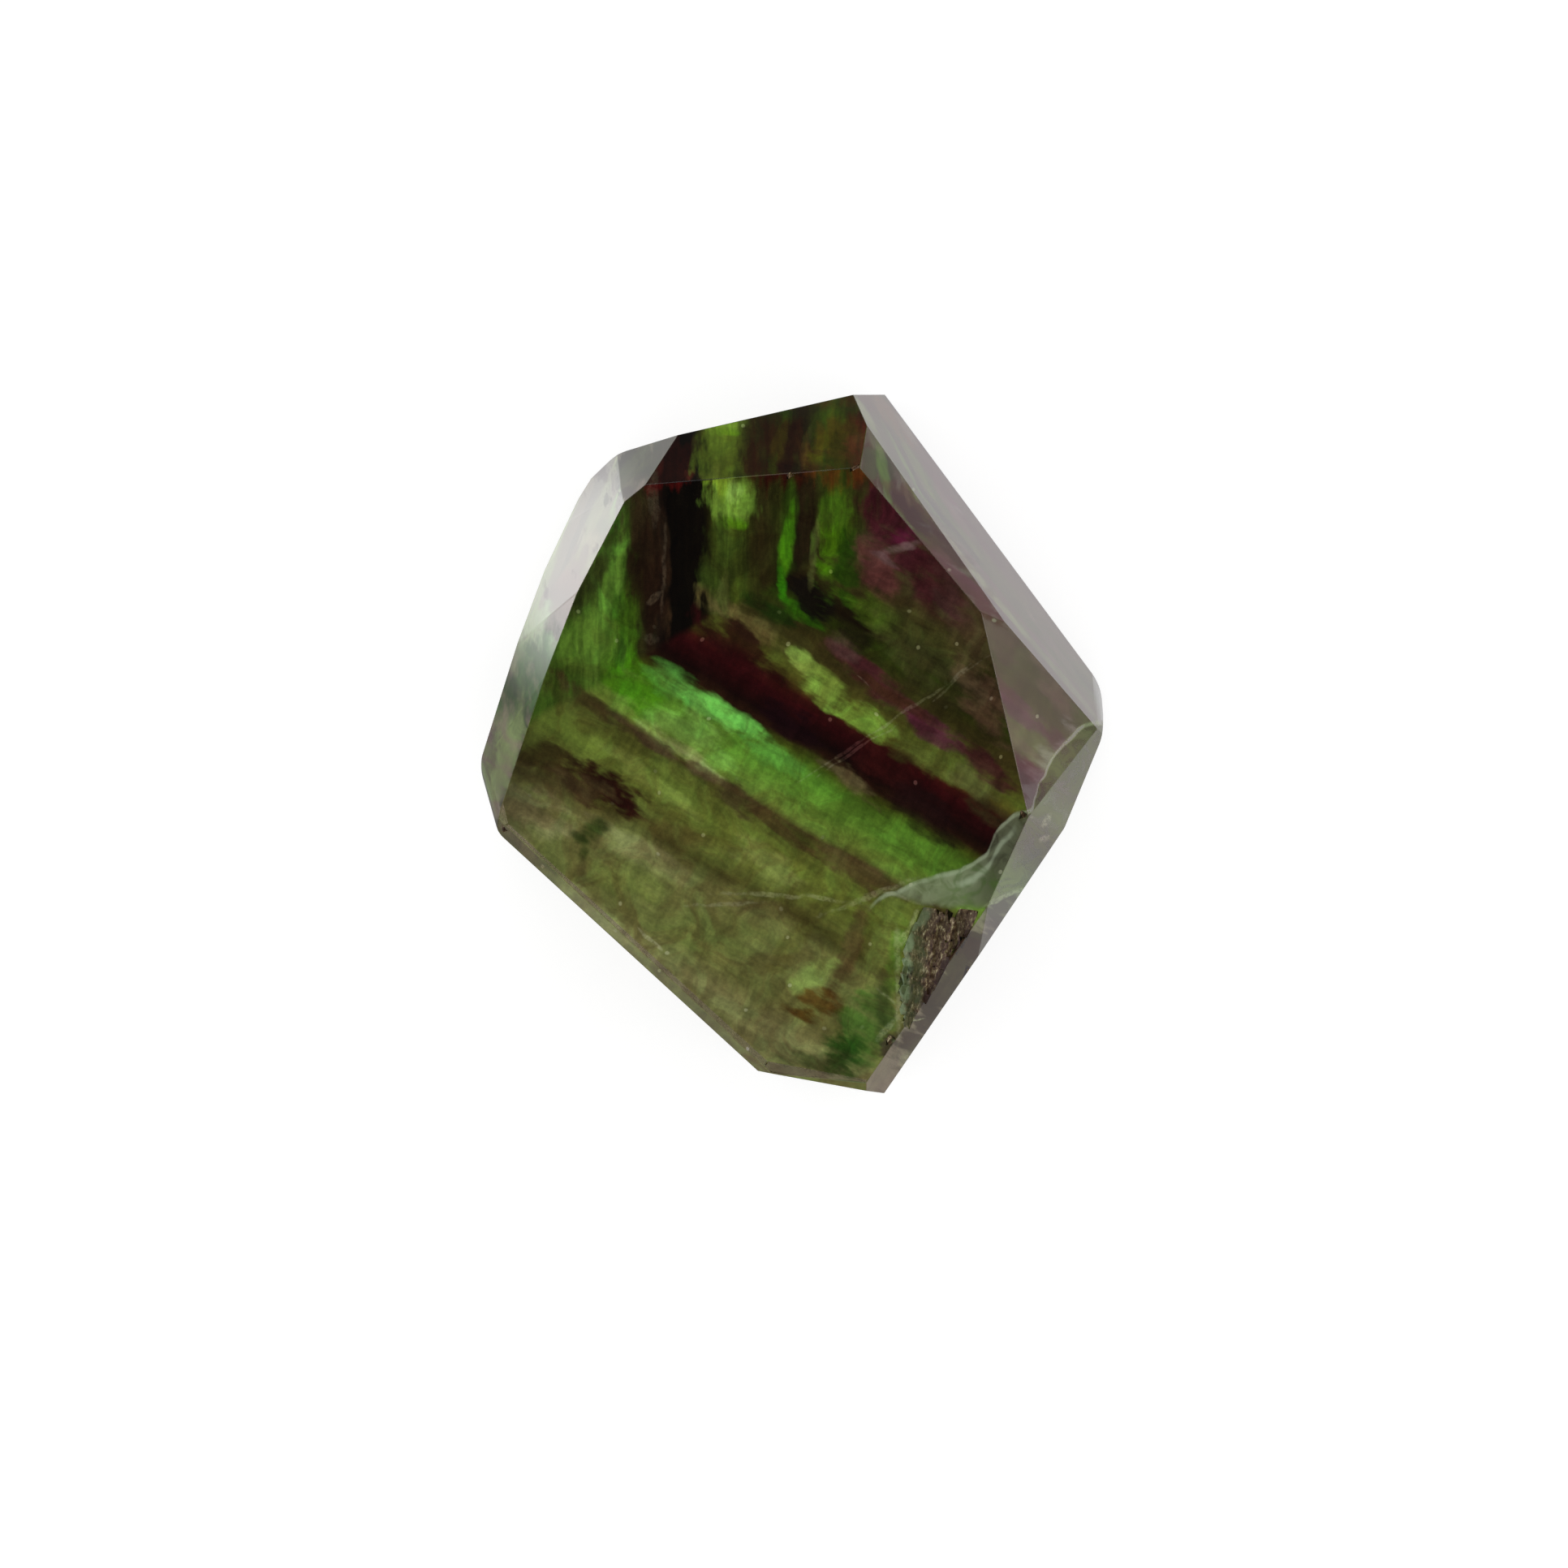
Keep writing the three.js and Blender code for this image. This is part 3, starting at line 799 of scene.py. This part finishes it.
# %% Strokes of the olive heart
OLIVE_STROKES = {
    "left_dark": ((-15, -1.3), (3.24, 0.76), -20, 0.5, (54, 38, 18), 0.9, 0.3),
    "maroon": ((-12.7, -2.8), (2.92, 1.14), -24, 0.45, (40, 12, 8), 0.95),
    "maroon_heart": ((-12.3, -3.1), (1.73, 0.65), -26, 0.7, (34, 8, 6), 0.9),
    "brown_tail": ((-15.4, -2.5), (2.7, 0.97), -12, 0.6, (78, 66, 38), 0.7),
    "top_shade": ((-16.9, -0.5), (1.84, 0.54), -10, 0.6, (64, 60, 26), 0.6),
    "mist_left": ((-17.7, -4.4), (2.7, 1.3), -18, 0.6, (138, 132, 90), 0.7),
    "mist": ((-10, -7.1), (2.81, 0.86), -30, 0.7, (132, 132, 86), 0.6),
    "mist_low": ((-11.1, -8.8), (2.49, 1.08), -18, 0.7, (112, 122, 56), 0.5),
    "moss": ((-13.2, -5.5), (0.76, 0.49), 20, 0.9, (34, 56, 12), 0.85),
    "moss_leaf": ((-14.2, -6.1), (0.54, 0.27), -35, 0.9, (40, 60, 18), 0.8),
    "moss_low": ((-13.9, -7), (0.65, 0.27), 70, 0.9, (44, 64, 20), 0.75),
    "moss_foot": ((-14.1, -8.4), (0.32, 0.86), 0, 0.6, (84, 78, 44), 0.6),
    "mottle_a": ((-7.3, -6.1), (2.27, 0.7), -18, 0.6, (82, 76, 36), 0.6),
    "yellow_mist": ((-1.8, -7.6), (2.49, 0.86), -36, 0.6, (132, 138, 74), 0.5),
    "shading": ((3.7, -13.6), (3.24, 0.59), 68, 0.6, (86, 70, 40), 0.75),
    "tongue": ((5.9, -13), (3.35, 0.76), 70, 0.6, (114, 126, 60), 0.5),
    "tongue_green": ((6.7, -14.9), (3.35, 0.49), 82, 0.6, (88, 122, 40), 0.65),
    "fan": ((1.3, -15.2), (1.51, 0.7), 34, 0.6, (126, 144, 72), 0.6),
    "stain": ((1.6, -17.2), (1.73, 0.86), 8, 0.5, (80, 56, 18), 0.88),
    "stain_dark": ((0.8, -17.7), (0.76, 0.43), 0, 0.6, (66, 40, 8), 0.6),
    "dark_spot": ((-2.4, -17.3), (0.92, 0.76), 40, 0.6, (80, 78, 40), 0.6),
    "dark_wing": ((-0.1, -13.2), (1.84, 0.7), 52, 0.6, (84, 82, 34), 0.6),
    "dark_cloud": ((-2.1, -10.9), (1.84, 0.54), -8, 0.6, (88, 80, 45), 0.6),
    "green_cloud": ((-5.3, -12.4), (3.24, 1.19), -5, 0.6, (100, 108, 52), 0.5),
    "teal": ((4.6, -18.9), (2.49, 1.62), 62, 0.6, (58, 90, 30), 0.8),
    "teal_dark": ((3.4, -20.4), (1.41, 1.08), 60, 0.6, (26, 60, 12), 0.85),
    "foot_shade": ((1.8, -21.2), (2.38, 0.65), -10, 0.6, (50, 60, 24), 0.75),
    "gap": ((6.1, -17.5), (1.51, 0.59), 84, 0.6, (58, 64, 32), 0.7),
    "rough_spot": ((6.6, -20), (0.92, 0.7), 30, 0.4, (56, 48, 37), 0.88),
    "edge_light": ((-12.4, -11.6), (3.57, 0.49), -43, 0.5, (148, 156, 96), 0.65),
    "edge_cream": ((-18.2, -6.3), (1.84, 0.38), -43, 0.5, (134, 130, 86), 0.6),
    "edge_low": ((-5.3, -17.8), (2.16, 0.49), -43, 0.6, (104, 100, 56), 0.5),
    "maroon_band": ((10.7, -14), (4, 0.27), 56, 0.35, (56, 28, 27), 0.92),
}

# %% [markdown]
# ## The healed fracture
# A fracture that has healed runs through the stone at the lower right. It looks like a frosted film
# with wisps, grayer and duller than the layers around it, with a pale rim and a pale ribbon in it. Its
# edges and the ribbon are wavy, so each one follows a curve through a few points.

# %% Helper: a curve through points
def curve(tree, value, points):
    """A smooth line through points that turns one measure into another, both in millimetres."""
    starts, ends = zip(*points)
    height = max(ends) - min(ends)
    node = tree.nodes.new("ShaderNodeFloatCurve")
    shape = node.mapping.curves[0].points
    while len(shape) < len(points):
        shape.new(0.5, 0.5)
    for dot, (start, end) in zip(shape, points):
        dot.location = ((start - starts[0]) / (starts[-1] - starts[0]), (end - min(ends)) / height)
    node.mapping.update()
    share = {"Value": value, "From Min": starts[0], "From Max": starts[-1]}
    join(tree, add_node(tree, "MapRange", share).outputs[0], node.inputs["Value"])
    return sums(tree, "MULTIPLY_ADD", node.outputs[0], height, min(ends))


# %% The film's edges
FILM_TOP = [(4.6, -11.0), (5.5, -10.3), (7.2, -9.4), (8.3, -8.9), (11.0, -8.1), (12.8, -7.1),
            (13.4, -6.0), (14.0, -5.1), (14.7, -4.5), (15.7, -4.2), (16.1, -3.4), (16.6, -2.1),
            (17.5, -0.5), (18.5, 0.8), (19.6, 1.6), (21.5, 1.8)]
FILM_FOOT = [(4.6, -10.9), (7.2, -10.1), (8.8, -10.6), (12.6, -10.8), (13.4, -10.4), (15.4, -9.7),
             (21.5, -9.2)]
RIBBON = [(10.0, -9.2), (11.8, -8.9), (12.9, -8.1), (13.6, -7.0), (14.3, -6.0), (15.2, -5.0)]
FILM_LEFT = (118, 128, 98)              # the film's colour at its left end, further right, and at its rim
FILM_RIGHT = (74, 78, 58)
FILM_RIM = (176, 190, 162)
RIM_DEPTH = 0.12                        # the pale rim lies this far inside the film's upper edge, mm
FILM_START = (4.8, 6.5)                 # the film comes in between these places from left to right, mm
FILM_TURNS = (10.0, 13.5)               # and turns to its right-hand colour between these
RIBBON_START, RIBBON_END = (10.2, 11.6), (14.2, 15.0)

# %% Group: film
film, given, result = new_group("film", [("Place", "NodeSocketVector", (0, 0, 1))],
                                [("Mask", "NodeSocketFloat"), ("Color", "NodeSocketColor")])
right, up, _ = add_node(film, "SeparateXYZ", {0: given["Place"]}).outputs
wisps = noise(film, given["Place"], 1.1, 4.0, Roughness=0.66, Distortion=1.0)
below = sums(film, "SUBTRACT", curve(film, right, FILM_TOP), up)
above = sums(film, "SUBTRACT", up, curve(film, right, FILM_FOOT))
mask = sums(film, "MULTIPLY", fade(film, below, -0.1, 0.2), fade(film, above, -0.1, 0.4))
mask = sums(film, "MULTIPLY", mask, fade(film, wisps, 0.32, 0.6, 0.68, 0.97))
off_rim = sums(film, "ABSOLUTE", sums(film, "SUBTRACT", below, RIM_DEPTH))
rim = fade(film, off_rim, 0.03, 0.26, 0.9, 0.0)
off_ribbon = sums(film, "ABSOLUTE", sums(film, "SUBTRACT", curve(film, right, RIBBON), up))
on_ribbon = fade(film, right, *RIBBON_END, 1.0, 0.0)
on_ribbon = sums(film, "MULTIPLY", fade(film, right, *RIBBON_START), on_ribbon)
ribbon = sums(film, "MULTIPLY", fade(film, off_ribbon, 0.05, 0.4, 0.8, 0.0), on_ribbon)
pale = sums(film, "MAXIMUM", rim, ribbon)
pale = sums(film, "MULTIPLY", pale, fade(film, wisps, 0.3, 0.55, 0.5, 1.0))
mask = sums(film, "MULTIPLY", sums(film, "MAXIMUM", mask, pale), fade(film, right, *FILM_START))
join(film, mask, result["Mask"])
color = lay_over(film, fade(film, right, *FILM_TURNS), linear(FILM_LEFT), linear(FILM_RIGHT))
color = scaled(film, color, fade(film, wisps, 0.35, 0.65, 0.7, 1.35))
join(film, lay_over(film, pale, color, linear(FILM_RIM)), result["Color"])
print("film: edges through", len(FILM_TOP), "and", len(FILM_FOOT), "points")

# %% [markdown]
# Now the layers, the strokes and the film go over one another. Threads and grain are multiplied in
# after the strokes, so that painted spots are as uneven as the layers around them.

# %% Group: stone colour
stone_color, _, result = new_group("stone_color", [], [
    ("Color", "NodeSocketColor"), ("Place", "NodeSocketVector"), ("Lumps", "NodeSocketFloat"),
    ("Depth", "NodeSocketFloat"), ("Film", "NodeSocketFloat")])
where = use_group(stone_color, planes)
layer = use_group(stone_color, layers, {name: where[name] for name in ("Across", "Upright", "Place")})
STROKES = [*SLOPED_STROKES.values(), *UPRIGHT_STROKES.values(), *PURPLE_STROKES.values(),
           *GREEN_STROKES.values(), *OLIVE_STROKES.values(), *BEVEL_STROKES.values()]
color = paint(stone_color, where, layer["Color"], STROKES)
color = vectors(stone_color, "MULTIPLY", color, layer["Texture"])
healed = use_group(stone_color, film, {"Place": where["Place"]})
color = lay_over(stone_color, healed["Mask"], color, healed["Color"])
join(stone_color, healed["Mask"], result["Film"])
join(stone_color, color, result["Color"])
for name in ("Place", "Lumps", "Depth"):
    join(stone_color, where[name], result[name])
print("strokes:", len(STROKES))

# %% [markdown]
# ## Flaws at the surface
# A few hairline cracks cross the dark layers, crumbs of paler stone follow a vein, and white specks
# sit just under the polish. All of them fade with depth.

# %% Cracks, crumbs and specks
CRACKS = {
    "crack": ((6.5, 1.7), (6.1, 0.08), 33.5, 0.6, 0.32),
    "crack_bright": ((4.2, -0.2), (2.4, 0.08), 33, 0.5, 0.4, 0.8),
    "crack_end": ((10.6, 4.3), (1.4, 0.08), 44, 0.6, 0.3),
    "crumbs": ((-9.3, 16.5), (1.7, 0.3), 92, 0.5, 0.16),
    "vein": ((-8.6, 12.0), (2.4, 0.14), 88, 0.5, 0.22),
    "vein_hook": ((-9.2, 9.9), (0.6, 0.2), 32, 0.5, 0.35),
    "vein_foot": ((-9.6, 7.2), (0.25, 0.5), 90, 0.5, 0.14),
    "wisp_left": ((-4.6, -10.5), (1.9, 0.12), 3, 0.6, 0.4),
    "wisp": ((-0.3, -9.9), (3.8, 0.13), -4, 0.6, 0.5, 1.2),
    "wisp_right": ((4.8, -10.1), (2.6, 0.16), 22, 0.6, 0.5),
    "arc": ((6.9, -9.9), (1.6, 0.13), -12, 0.6, 0.45, 1.5),
    "lip_top": ((7.6, -12.2), (1.35, 0.2), 62, 0.5, 0.8),
    "lip_side": ((6.95, -15.4), (3.2, 0.2), 91, 0.6, 0.65),
    "lip_inner": ((7.5, -14.2), (2.4, 0.13), 84, 0.6, 0.5),
    "branch": ((6.5, -16.9), (0.9, 0.1), -42, 0.6, 0.6),
    "tick": ((7.9, -18.3), (0.8, 0.07), 12, 0.5, 0.8),
    "fringe": ((14.4, -9.9), (1.6, 0.12), 22, 0.6, 0.6),
    "hair": ((4.6, 4.4), (0.5, 0.05), -48, 0.5, 0.4),
    "streak": ((-9.5, -12.9), (0.85, 0.12), -42, 0.5, 0.75),
    "flake": ((6.1, -18.9), (0.75, 0.22), 50, 0.5, 0.8),
    "chip_mark": ((11.7, -11.1), (0.42, 0.3), 0, 0.5, 0.9),
    "fleck_high": ((16.9, -4.9), (0.42, 0.2), 60, 0.5, 1.0),
    "fleck_low": ((16.7, -6.2), (0.4, 0.2), 30, 0.5, 1.0),
    "fleck_edge": ((12.0, -14.8), (0.5, 0.2), 60, 0.5, 0.7),
}
SPECKS_PER_MM = 0.36
SPECK_EDGE = (0.03, 0.055)              # a speck fades out between these shares of the specks' spacing
FLAWS_END = (5.0, 9.0)                  # the flaws fade out between these depths, mm

# %% Group: surface flaws
flaws, given, result = new_group(
    "surface_flaws", [("Place", "NodeSocketVector", (0, 0, 1)), ("Lumps", "NodeSocketFloat", 0.0),
                      ("Depth", "NodeSocketFloat", 0.0)],
    [("Crack", "NodeSocketFloat"), ("Specks", "NodeSocketFloat")])
crack = 0.0
for row in CRACKS.values():
    crack = sums(flaws, "MAXIMUM", crack, stroke_mask(flaws, given, *row))
broken_up = noise(flaws, given["Place"], 0.35, 3.0, Roughness=0.7)
crack = sums(flaws, "MULTIPLY", crack, fade(flaws, broken_up, 0.36, 0.6, 0.15, 1.0))
dust = add_node(flaws, "TexVoronoi", {"Vector": given["Place"], "Scale": SPECKS_PER_MM},
                voronoi_dimensions="2D").outputs
some = fade(flaws, add_node(flaws, "SeparateXYZ", {0: dust["Color"]}).outputs[0], 0.6, 0.9)
specks = sums(flaws, "MULTIPLY", fade(flaws, dust["Distance"], *SPECK_EDGE, 1.0, 0.0), some)
near_surface = fade(flaws, given["Depth"], *FLAWS_END, 1.0, 0.0)
join(flaws, sums(flaws, "MULTIPLY", crack, near_surface), result["Crack"])
join(flaws, sums(flaws, "MULTIPLY", specks, near_surface), result["Specks"])
print("cracks:", len(CRACKS))

# %% [markdown]
# ## Clear banded fluorite
# Light goes in through one facet and out through another, and each crossing takes on the colour of
# its spot. So the layers are painted on every facet, and where front and back agree the colour looks
# as if it went right through. Fluorite bends light little, so its index of refraction is only 1.434.

# %% Helpers for clear finishes
IOR = 1.434
GAIN = 1.45                             # each crossing is this much lighter than the layers' colours
LIGHTEST = (0.97, 0.97, 0.97)           # no surface lets all the light through
CRACK_COLOR = (240, 240, 216)
BODY_COLOR = (0.80, 0.84, 0.74, 1.0)
BODY_DENSITY = 8.0                      # per metre, so the body itself takes away very little


def clear_shader(name):
    """The tree and the shader of a clear fluorite finish, with the body's own faint absorption."""
    tree = bpy.data.materials[name].node_tree
    shader = tree.nodes["Principled BSDF"]
    shader.inputs["IOR"].default_value = IOR
    shader.inputs["Transmission Weight"].default_value = 1.0
    volume = add_node(tree, "VolumeAbsorption", {"Color": BODY_COLOR, "Density": BODY_DENSITY})
    tree.links.new(volume.outputs[0], tree.nodes["Material Output"].inputs["Volume"])
    return tree, shader.inputs


def set_color(tree, color, shader):
    """Gives a shader its colour, kept a little under white."""
    join(tree, vectors(tree, "MINIMUM", color, LIGHTEST), shader["Base Color"])


def lay_flaws(tree, color, where):
    """Lays the cracks and the specks over a colour."""
    seen = use_group(tree, flaws, {label: where[label] for label in ("Place", "Lumps", "Depth")})
    color = lay_over(tree, seen["Crack"], color, linear(CRACK_COLOR))
    return lay_over(tree, seen["Specks"], color, linear(CRACK_COLOR))


# %% Front finish
POLISHED, FILM_DULLS = 0.02, 0.2        # roughness of the polish, and what the film adds to it
tree, shader = clear_shader("fluorite_front")
where = use_group(tree, stone_color)
set_color(tree, lay_flaws(tree, scaled(tree, where["Color"], GAIN), where), shader)
join(tree, sums(tree, "MULTIPLY_ADD", where["Film"], FILM_DULLS, POLISHED), shader["Roughness"])

# %% Back finish
BACK_POLISH = 0.03
tree, shader = clear_shader("fluorite_back")
where = use_group(tree, stone_color)
set_color(tree, scaled(tree, where["Color"], GAIN), shader)
shader["Roughness"].default_value = BACK_POLISH

# %% [markdown]
# The steep sides cut across the layers near the rim, where the stone is thin, so they are much paler.
# They are a little milky too: a part of their light is scattered instead of let through. Each side has
# its own tint, laid on as a few wide strokes over layers that hardly show. The palest stroke, on the
# upper left facets, is partly that paleness of the thin rim and partly a painted reflection.

# %% Side finish
PALE = (184, 160, 164)
PALER = 0.85                            # how much of the layers this pale tint covers
MILKY = 0.75                            # the share of light that is let through
FROSTED = 4.0                           # how much paler the film is where it comes out at a side
SIDE_POLISH, SIDE_FILM_DULLS = 0.03, 0.3    # roughness, and what the film adds to it
SIDE_STROKES = {
    # pale_left_and_reflection is partly the thin rim's paleness and partly a painted reflection that makes
    # the upper left facets shine.
    "pale_left_and_reflection": ((-15.0, 12.6), (7.6, 3.6), 64.5, 0.2, (250, 246, 228), 0.95),
    "green_left": ((-17.2, 4.2), (3.2, 2.6), 62, 0.5, (30, 84, 16), 0.95),
    "dark_left": ((-17.6, -0.2), (4.8, 0.7), 68, 0.4, (30, 38, 12), 0.9),
    "green_low": ((-20.0, -1.4), (3.4, 1.1), 70, 0.5, (172, 196, 138), 0.9),
    "dark_low": ((-19.2, -5.0), (2.2, 0.8), 62, 0.4, (52, 46, 26), 0.85),
    "small_gray": ((-10.0, 18.7), (2.6, 1.6), 38, 0.2, (84, 82, 70), 0.9),
    "strip_shade": ((8.9, 14.3), (7.5, 1.0), -51, 0.3, (134, 86, 94), 0.9),
    "green_point": ((6.0, 18.7), (1.6, 0.8), -20, 0.5, (130, 134, 116), 0.8),
    "lilac_low": ((17.5, 2.5), (5.5, 3.2), -60, 0.3, (166, 154, 146), 0.9),
    "frost": ((17.6, -3.6), (4.8, 2.4), 60, 0.4, (214, 204, 206), 0.9),
    "blue_gray": ((16.4, -8.0), (2.6, 1.2), 58, 0.4, (128, 134, 132), 0.85),
    "mauve": ((11.4, -15.2), (7.4, 1.7), 56, 0.3, (50, 22, 26), 0.9),
}
tree, shader = clear_shader("fluorite_sides")
shader["Transmission Weight"].default_value = MILKY
where = use_group(tree, planes)
layer = use_group(tree, layers, {name: where[name] for name in ("Across", "Upright", "Place")})
color = lay_over(tree, PALER, layer["Color"], linear(PALE))
color = paint(tree, where, color, SIDE_STROKES.values())
healed = use_group(tree, film, {"Place": where["Place"]})
color = lay_over(tree, healed["Mask"], color, scaled(tree, healed["Color"], FROSTED))
set_color(tree, lay_flaws(tree, color, where), shader)
join(tree, sums(tree, "MULTIPLY_ADD", healed["Mask"], SIDE_FILM_DULLS, SIDE_POLISH), shader["Roughness"])
print("side strokes:", len(SIDE_STROKES))

# %% [markdown]
# ## The broken patch
# A break isn't polished, so it is only half clear: brown and green, with gold and cream glints, which are
# painted into the colour as the palest flecks. A fine noise, drawn out along the shards, sets both the
# colour of each fleck and its height in a bump, which is far finer than the steps that are cut.

# %% Finish of the break
HALF_CLEAR = 0.35                       # the share of light that goes through
UNPOLISHED = 0.42                       # roughness
FLECK = 0.2                             # width of a fleck, mm
FLECK_LENGTH = 2.5                      # its length as a share of its width
# the two palest stops, gold and cream, are painted glints; the darker stops are the break's own brown
FLECKS_AND_GLINTS = [(0.38, (44, 22, 20)), (0.47, (88, 60, 52)), (0.53, (116, 90, 74)), (0.58, (168, 144, 112)),
          (0.64, (250, 236, 200))]
BREAK_STROKES = {
    "green_side": ((7.8, -15.6), (4.6, 0.8), 86, 0.6, (92, 116, 74), 0.5),
    "lip": ((7.4, -14.8), (4.0, 0.4), 84, 0.5, (158, 184, 144), 0.85),
    "lip_top": ((8.3, -11.5), (1.5, 0.4), 40, 0.5, (150, 170, 136), 0.7),
    "maroon": ((10.7, -14.0), (4.0, 0.32), 56, 0.4, (40, 12, 14), 0.95),
}
tree = bpy.data.materials["fluorite_break"].node_tree
shader = tree.nodes["Principled BSDF"].inputs
shader["IOR"].default_value = IOR
shader["Transmission Weight"].default_value = HALF_CLEAR
shader["Roughness"].default_value = UNPOLISHED
where = use_group(tree, planes)
drawn = {"Vector": where["Place"], "Rotation": (0, 0, GRAIN), "Scale": (1, FLECK_LENGTH, 1)}
along_grain = add_node(tree, "Mapping", drawn, vector_type="TEXTURE").outputs[0]
flecks = noise(tree, along_grain, FLECK, 5.0, dimensions="3D", Roughness=0.75)
join(tree, paint(tree, where, ramp(tree, flecks, FLECKS_AND_GLINTS), BREAK_STROKES.values()), shader["Base Color"])
bump = add_node(tree, "Bump", {"Height": flecks, "Strength": 0.5, "Distance": FLECK * MM})
join(tree, bump.outputs[0], shader["Normal"])
print("finishes:", FINISHES)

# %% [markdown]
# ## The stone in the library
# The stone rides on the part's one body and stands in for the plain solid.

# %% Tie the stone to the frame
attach(stone, "root")
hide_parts("fluorite")

# %% [markdown]
# ## Floor, light and camera
# The stone lies on white paper in a white tent. The tent is brightest low down, where the steep
# facets catch it, and dim overhead, so that the level front face shows no glare and the eye looks
# straight into the stone. The paper is lit from below too, as on a light table: a soft pad of light
# lies under the stone, with a brighter and a dimmer spot beside it that the left facets mirror.
# The lens sees the paper itself as plain white, so the pad shows only in the stone.

# %% Floor
FLOOR_HALF = 1.5                        # half the side of the paper, m
FLOOR_GAP = 0.00015                     # keeps the paper just clear of the stone, m
PAD_GLOW, FAR_GLOW = 0.58, 0.06
PAD_EDGE = (34.0 * MM, 60.0 * MM)       # the pad fades out between these distances
LAMP = in_place((-25.5, 19.0, -TOP))    # the brighter spot, up to the left of the stone
LAMP_GLOW = 0.75
LAMP_EDGE = (6 * MM, 13 * MM)
DIM_SPOT = in_place((-28.0, 0.0, -TOP))  # the dimmer one, below it
DIM_SHARE = 0.3
DIM_EDGE = (6 * MM, 15 * MM)
SEEN_GLOW = 0.74                        # what the lens sees of the glow, and of the paper's own white
SEEN_WHITE = (0.5, 0.5, 0.5)
floor_mesh = bmesh.new()
bmesh.ops.create_grid(floor_mesh, x_segments=1, y_segments=1, size=FLOOR_HALF)
bmesh.ops.translate(floor_mesh, verts=floor_mesh.verts, vec=(0, 0, -FLOOR_GAP))
paper = bpy.data.materials.new("white_paper")
paper.use_nodes = True
tree = paper.node_tree
shader = tree.nodes["Principled BSDF"].inputs
here = add_node(tree, "TexCoord").outputs["Object"]
glow = fade(tree, vectors(tree, "LENGTH", here), *PAD_EDGE, PAD_GLOW, FAR_GLOW)
dim = fade(tree, vectors(tree, "DISTANCE", here, DIM_SPOT), *DIM_EDGE, DIM_SHARE, 1.0)
lamp = fade(tree, vectors(tree, "DISTANCE", here, LAMP), *LAMP_EDGE, LAMP_GLOW, 0.0)
glow = sums(tree, "ADD", sums(tree, "MULTIPLY", glow, dim), lamp)
eye = add_node(tree, "LightPath").outputs["Is Camera Ray"]
join(tree, blend(tree, eye, glow, SEEN_GLOW), shader["Emission Strength"])
join(tree, scaled(tree, SEEN_WHITE, eye), shader["Base Color"])
shader["Roughness"].default_value = 0.9
shader["Specular IOR Level"].default_value = 0.1
shader["Emission Color"].default_value = (1, 1, 1, 1)
floor = object_from(floor_mesh, "floor", [paper])
print("paper:", 2 * FLOOR_HALF, "metres square")

# %% Light
LOW_LIGHT, HIGH_LIGHT = 0.95, 0.06
TENT_TOP = (0.80, 0.97)                 # the tent darkens between these heights, where 1 is overhead
world = bpy.data.worlds.new("white_tent")
bpy.context.scene.world = world
world.use_nodes = True
sky = world.node_tree
direction = add_node(sky, "TexCoord").outputs["Generated"]
height = add_node(sky, "SeparateXYZ", {0: direction}).outputs[2]
tent = sky.nodes["Background"].inputs
join(sky, fade(sky, height, *TENT_TOP, LOW_LIGHT, HIGH_LIGHT), tent["Strength"])
tent["Color"].default_value = (1, 1, 1, 1)

# %% [markdown]
# A long lens looks straight down on the front face from far off, so that the facets keep their true
# angles. Its focal length follows from how far off it is and how wide a piece of the face it sees.

# %% Camera
VIEW_HEIGHT = 320.0                     # camera above the front face, mm
VIEW_WIDTH = 104.43                     # what the camera sees across at the front face, mm
CLIP_END = 20                           # the camera sees as far as this, m
camera_data = bpy.data.cameras.new("camera")
camera_data.lens = camera_data.sensor_width * VIEW_HEIGHT / VIEW_WIDTH
camera_data.clip_end = CLIP_END
camera = bpy.data.objects.new("camera", camera_data)
camera.location = in_place((FAN_AXIS.x, FAN_AXIS.y, TOP + VIEW_HEIGHT))
bpy.context.scene.collection.objects.link(camera)
bpy.context.scene.camera = camera
bpy.context.scene.view_settings.view_transform = "Standard"
print("focal length, mm:", round(camera_data.lens))
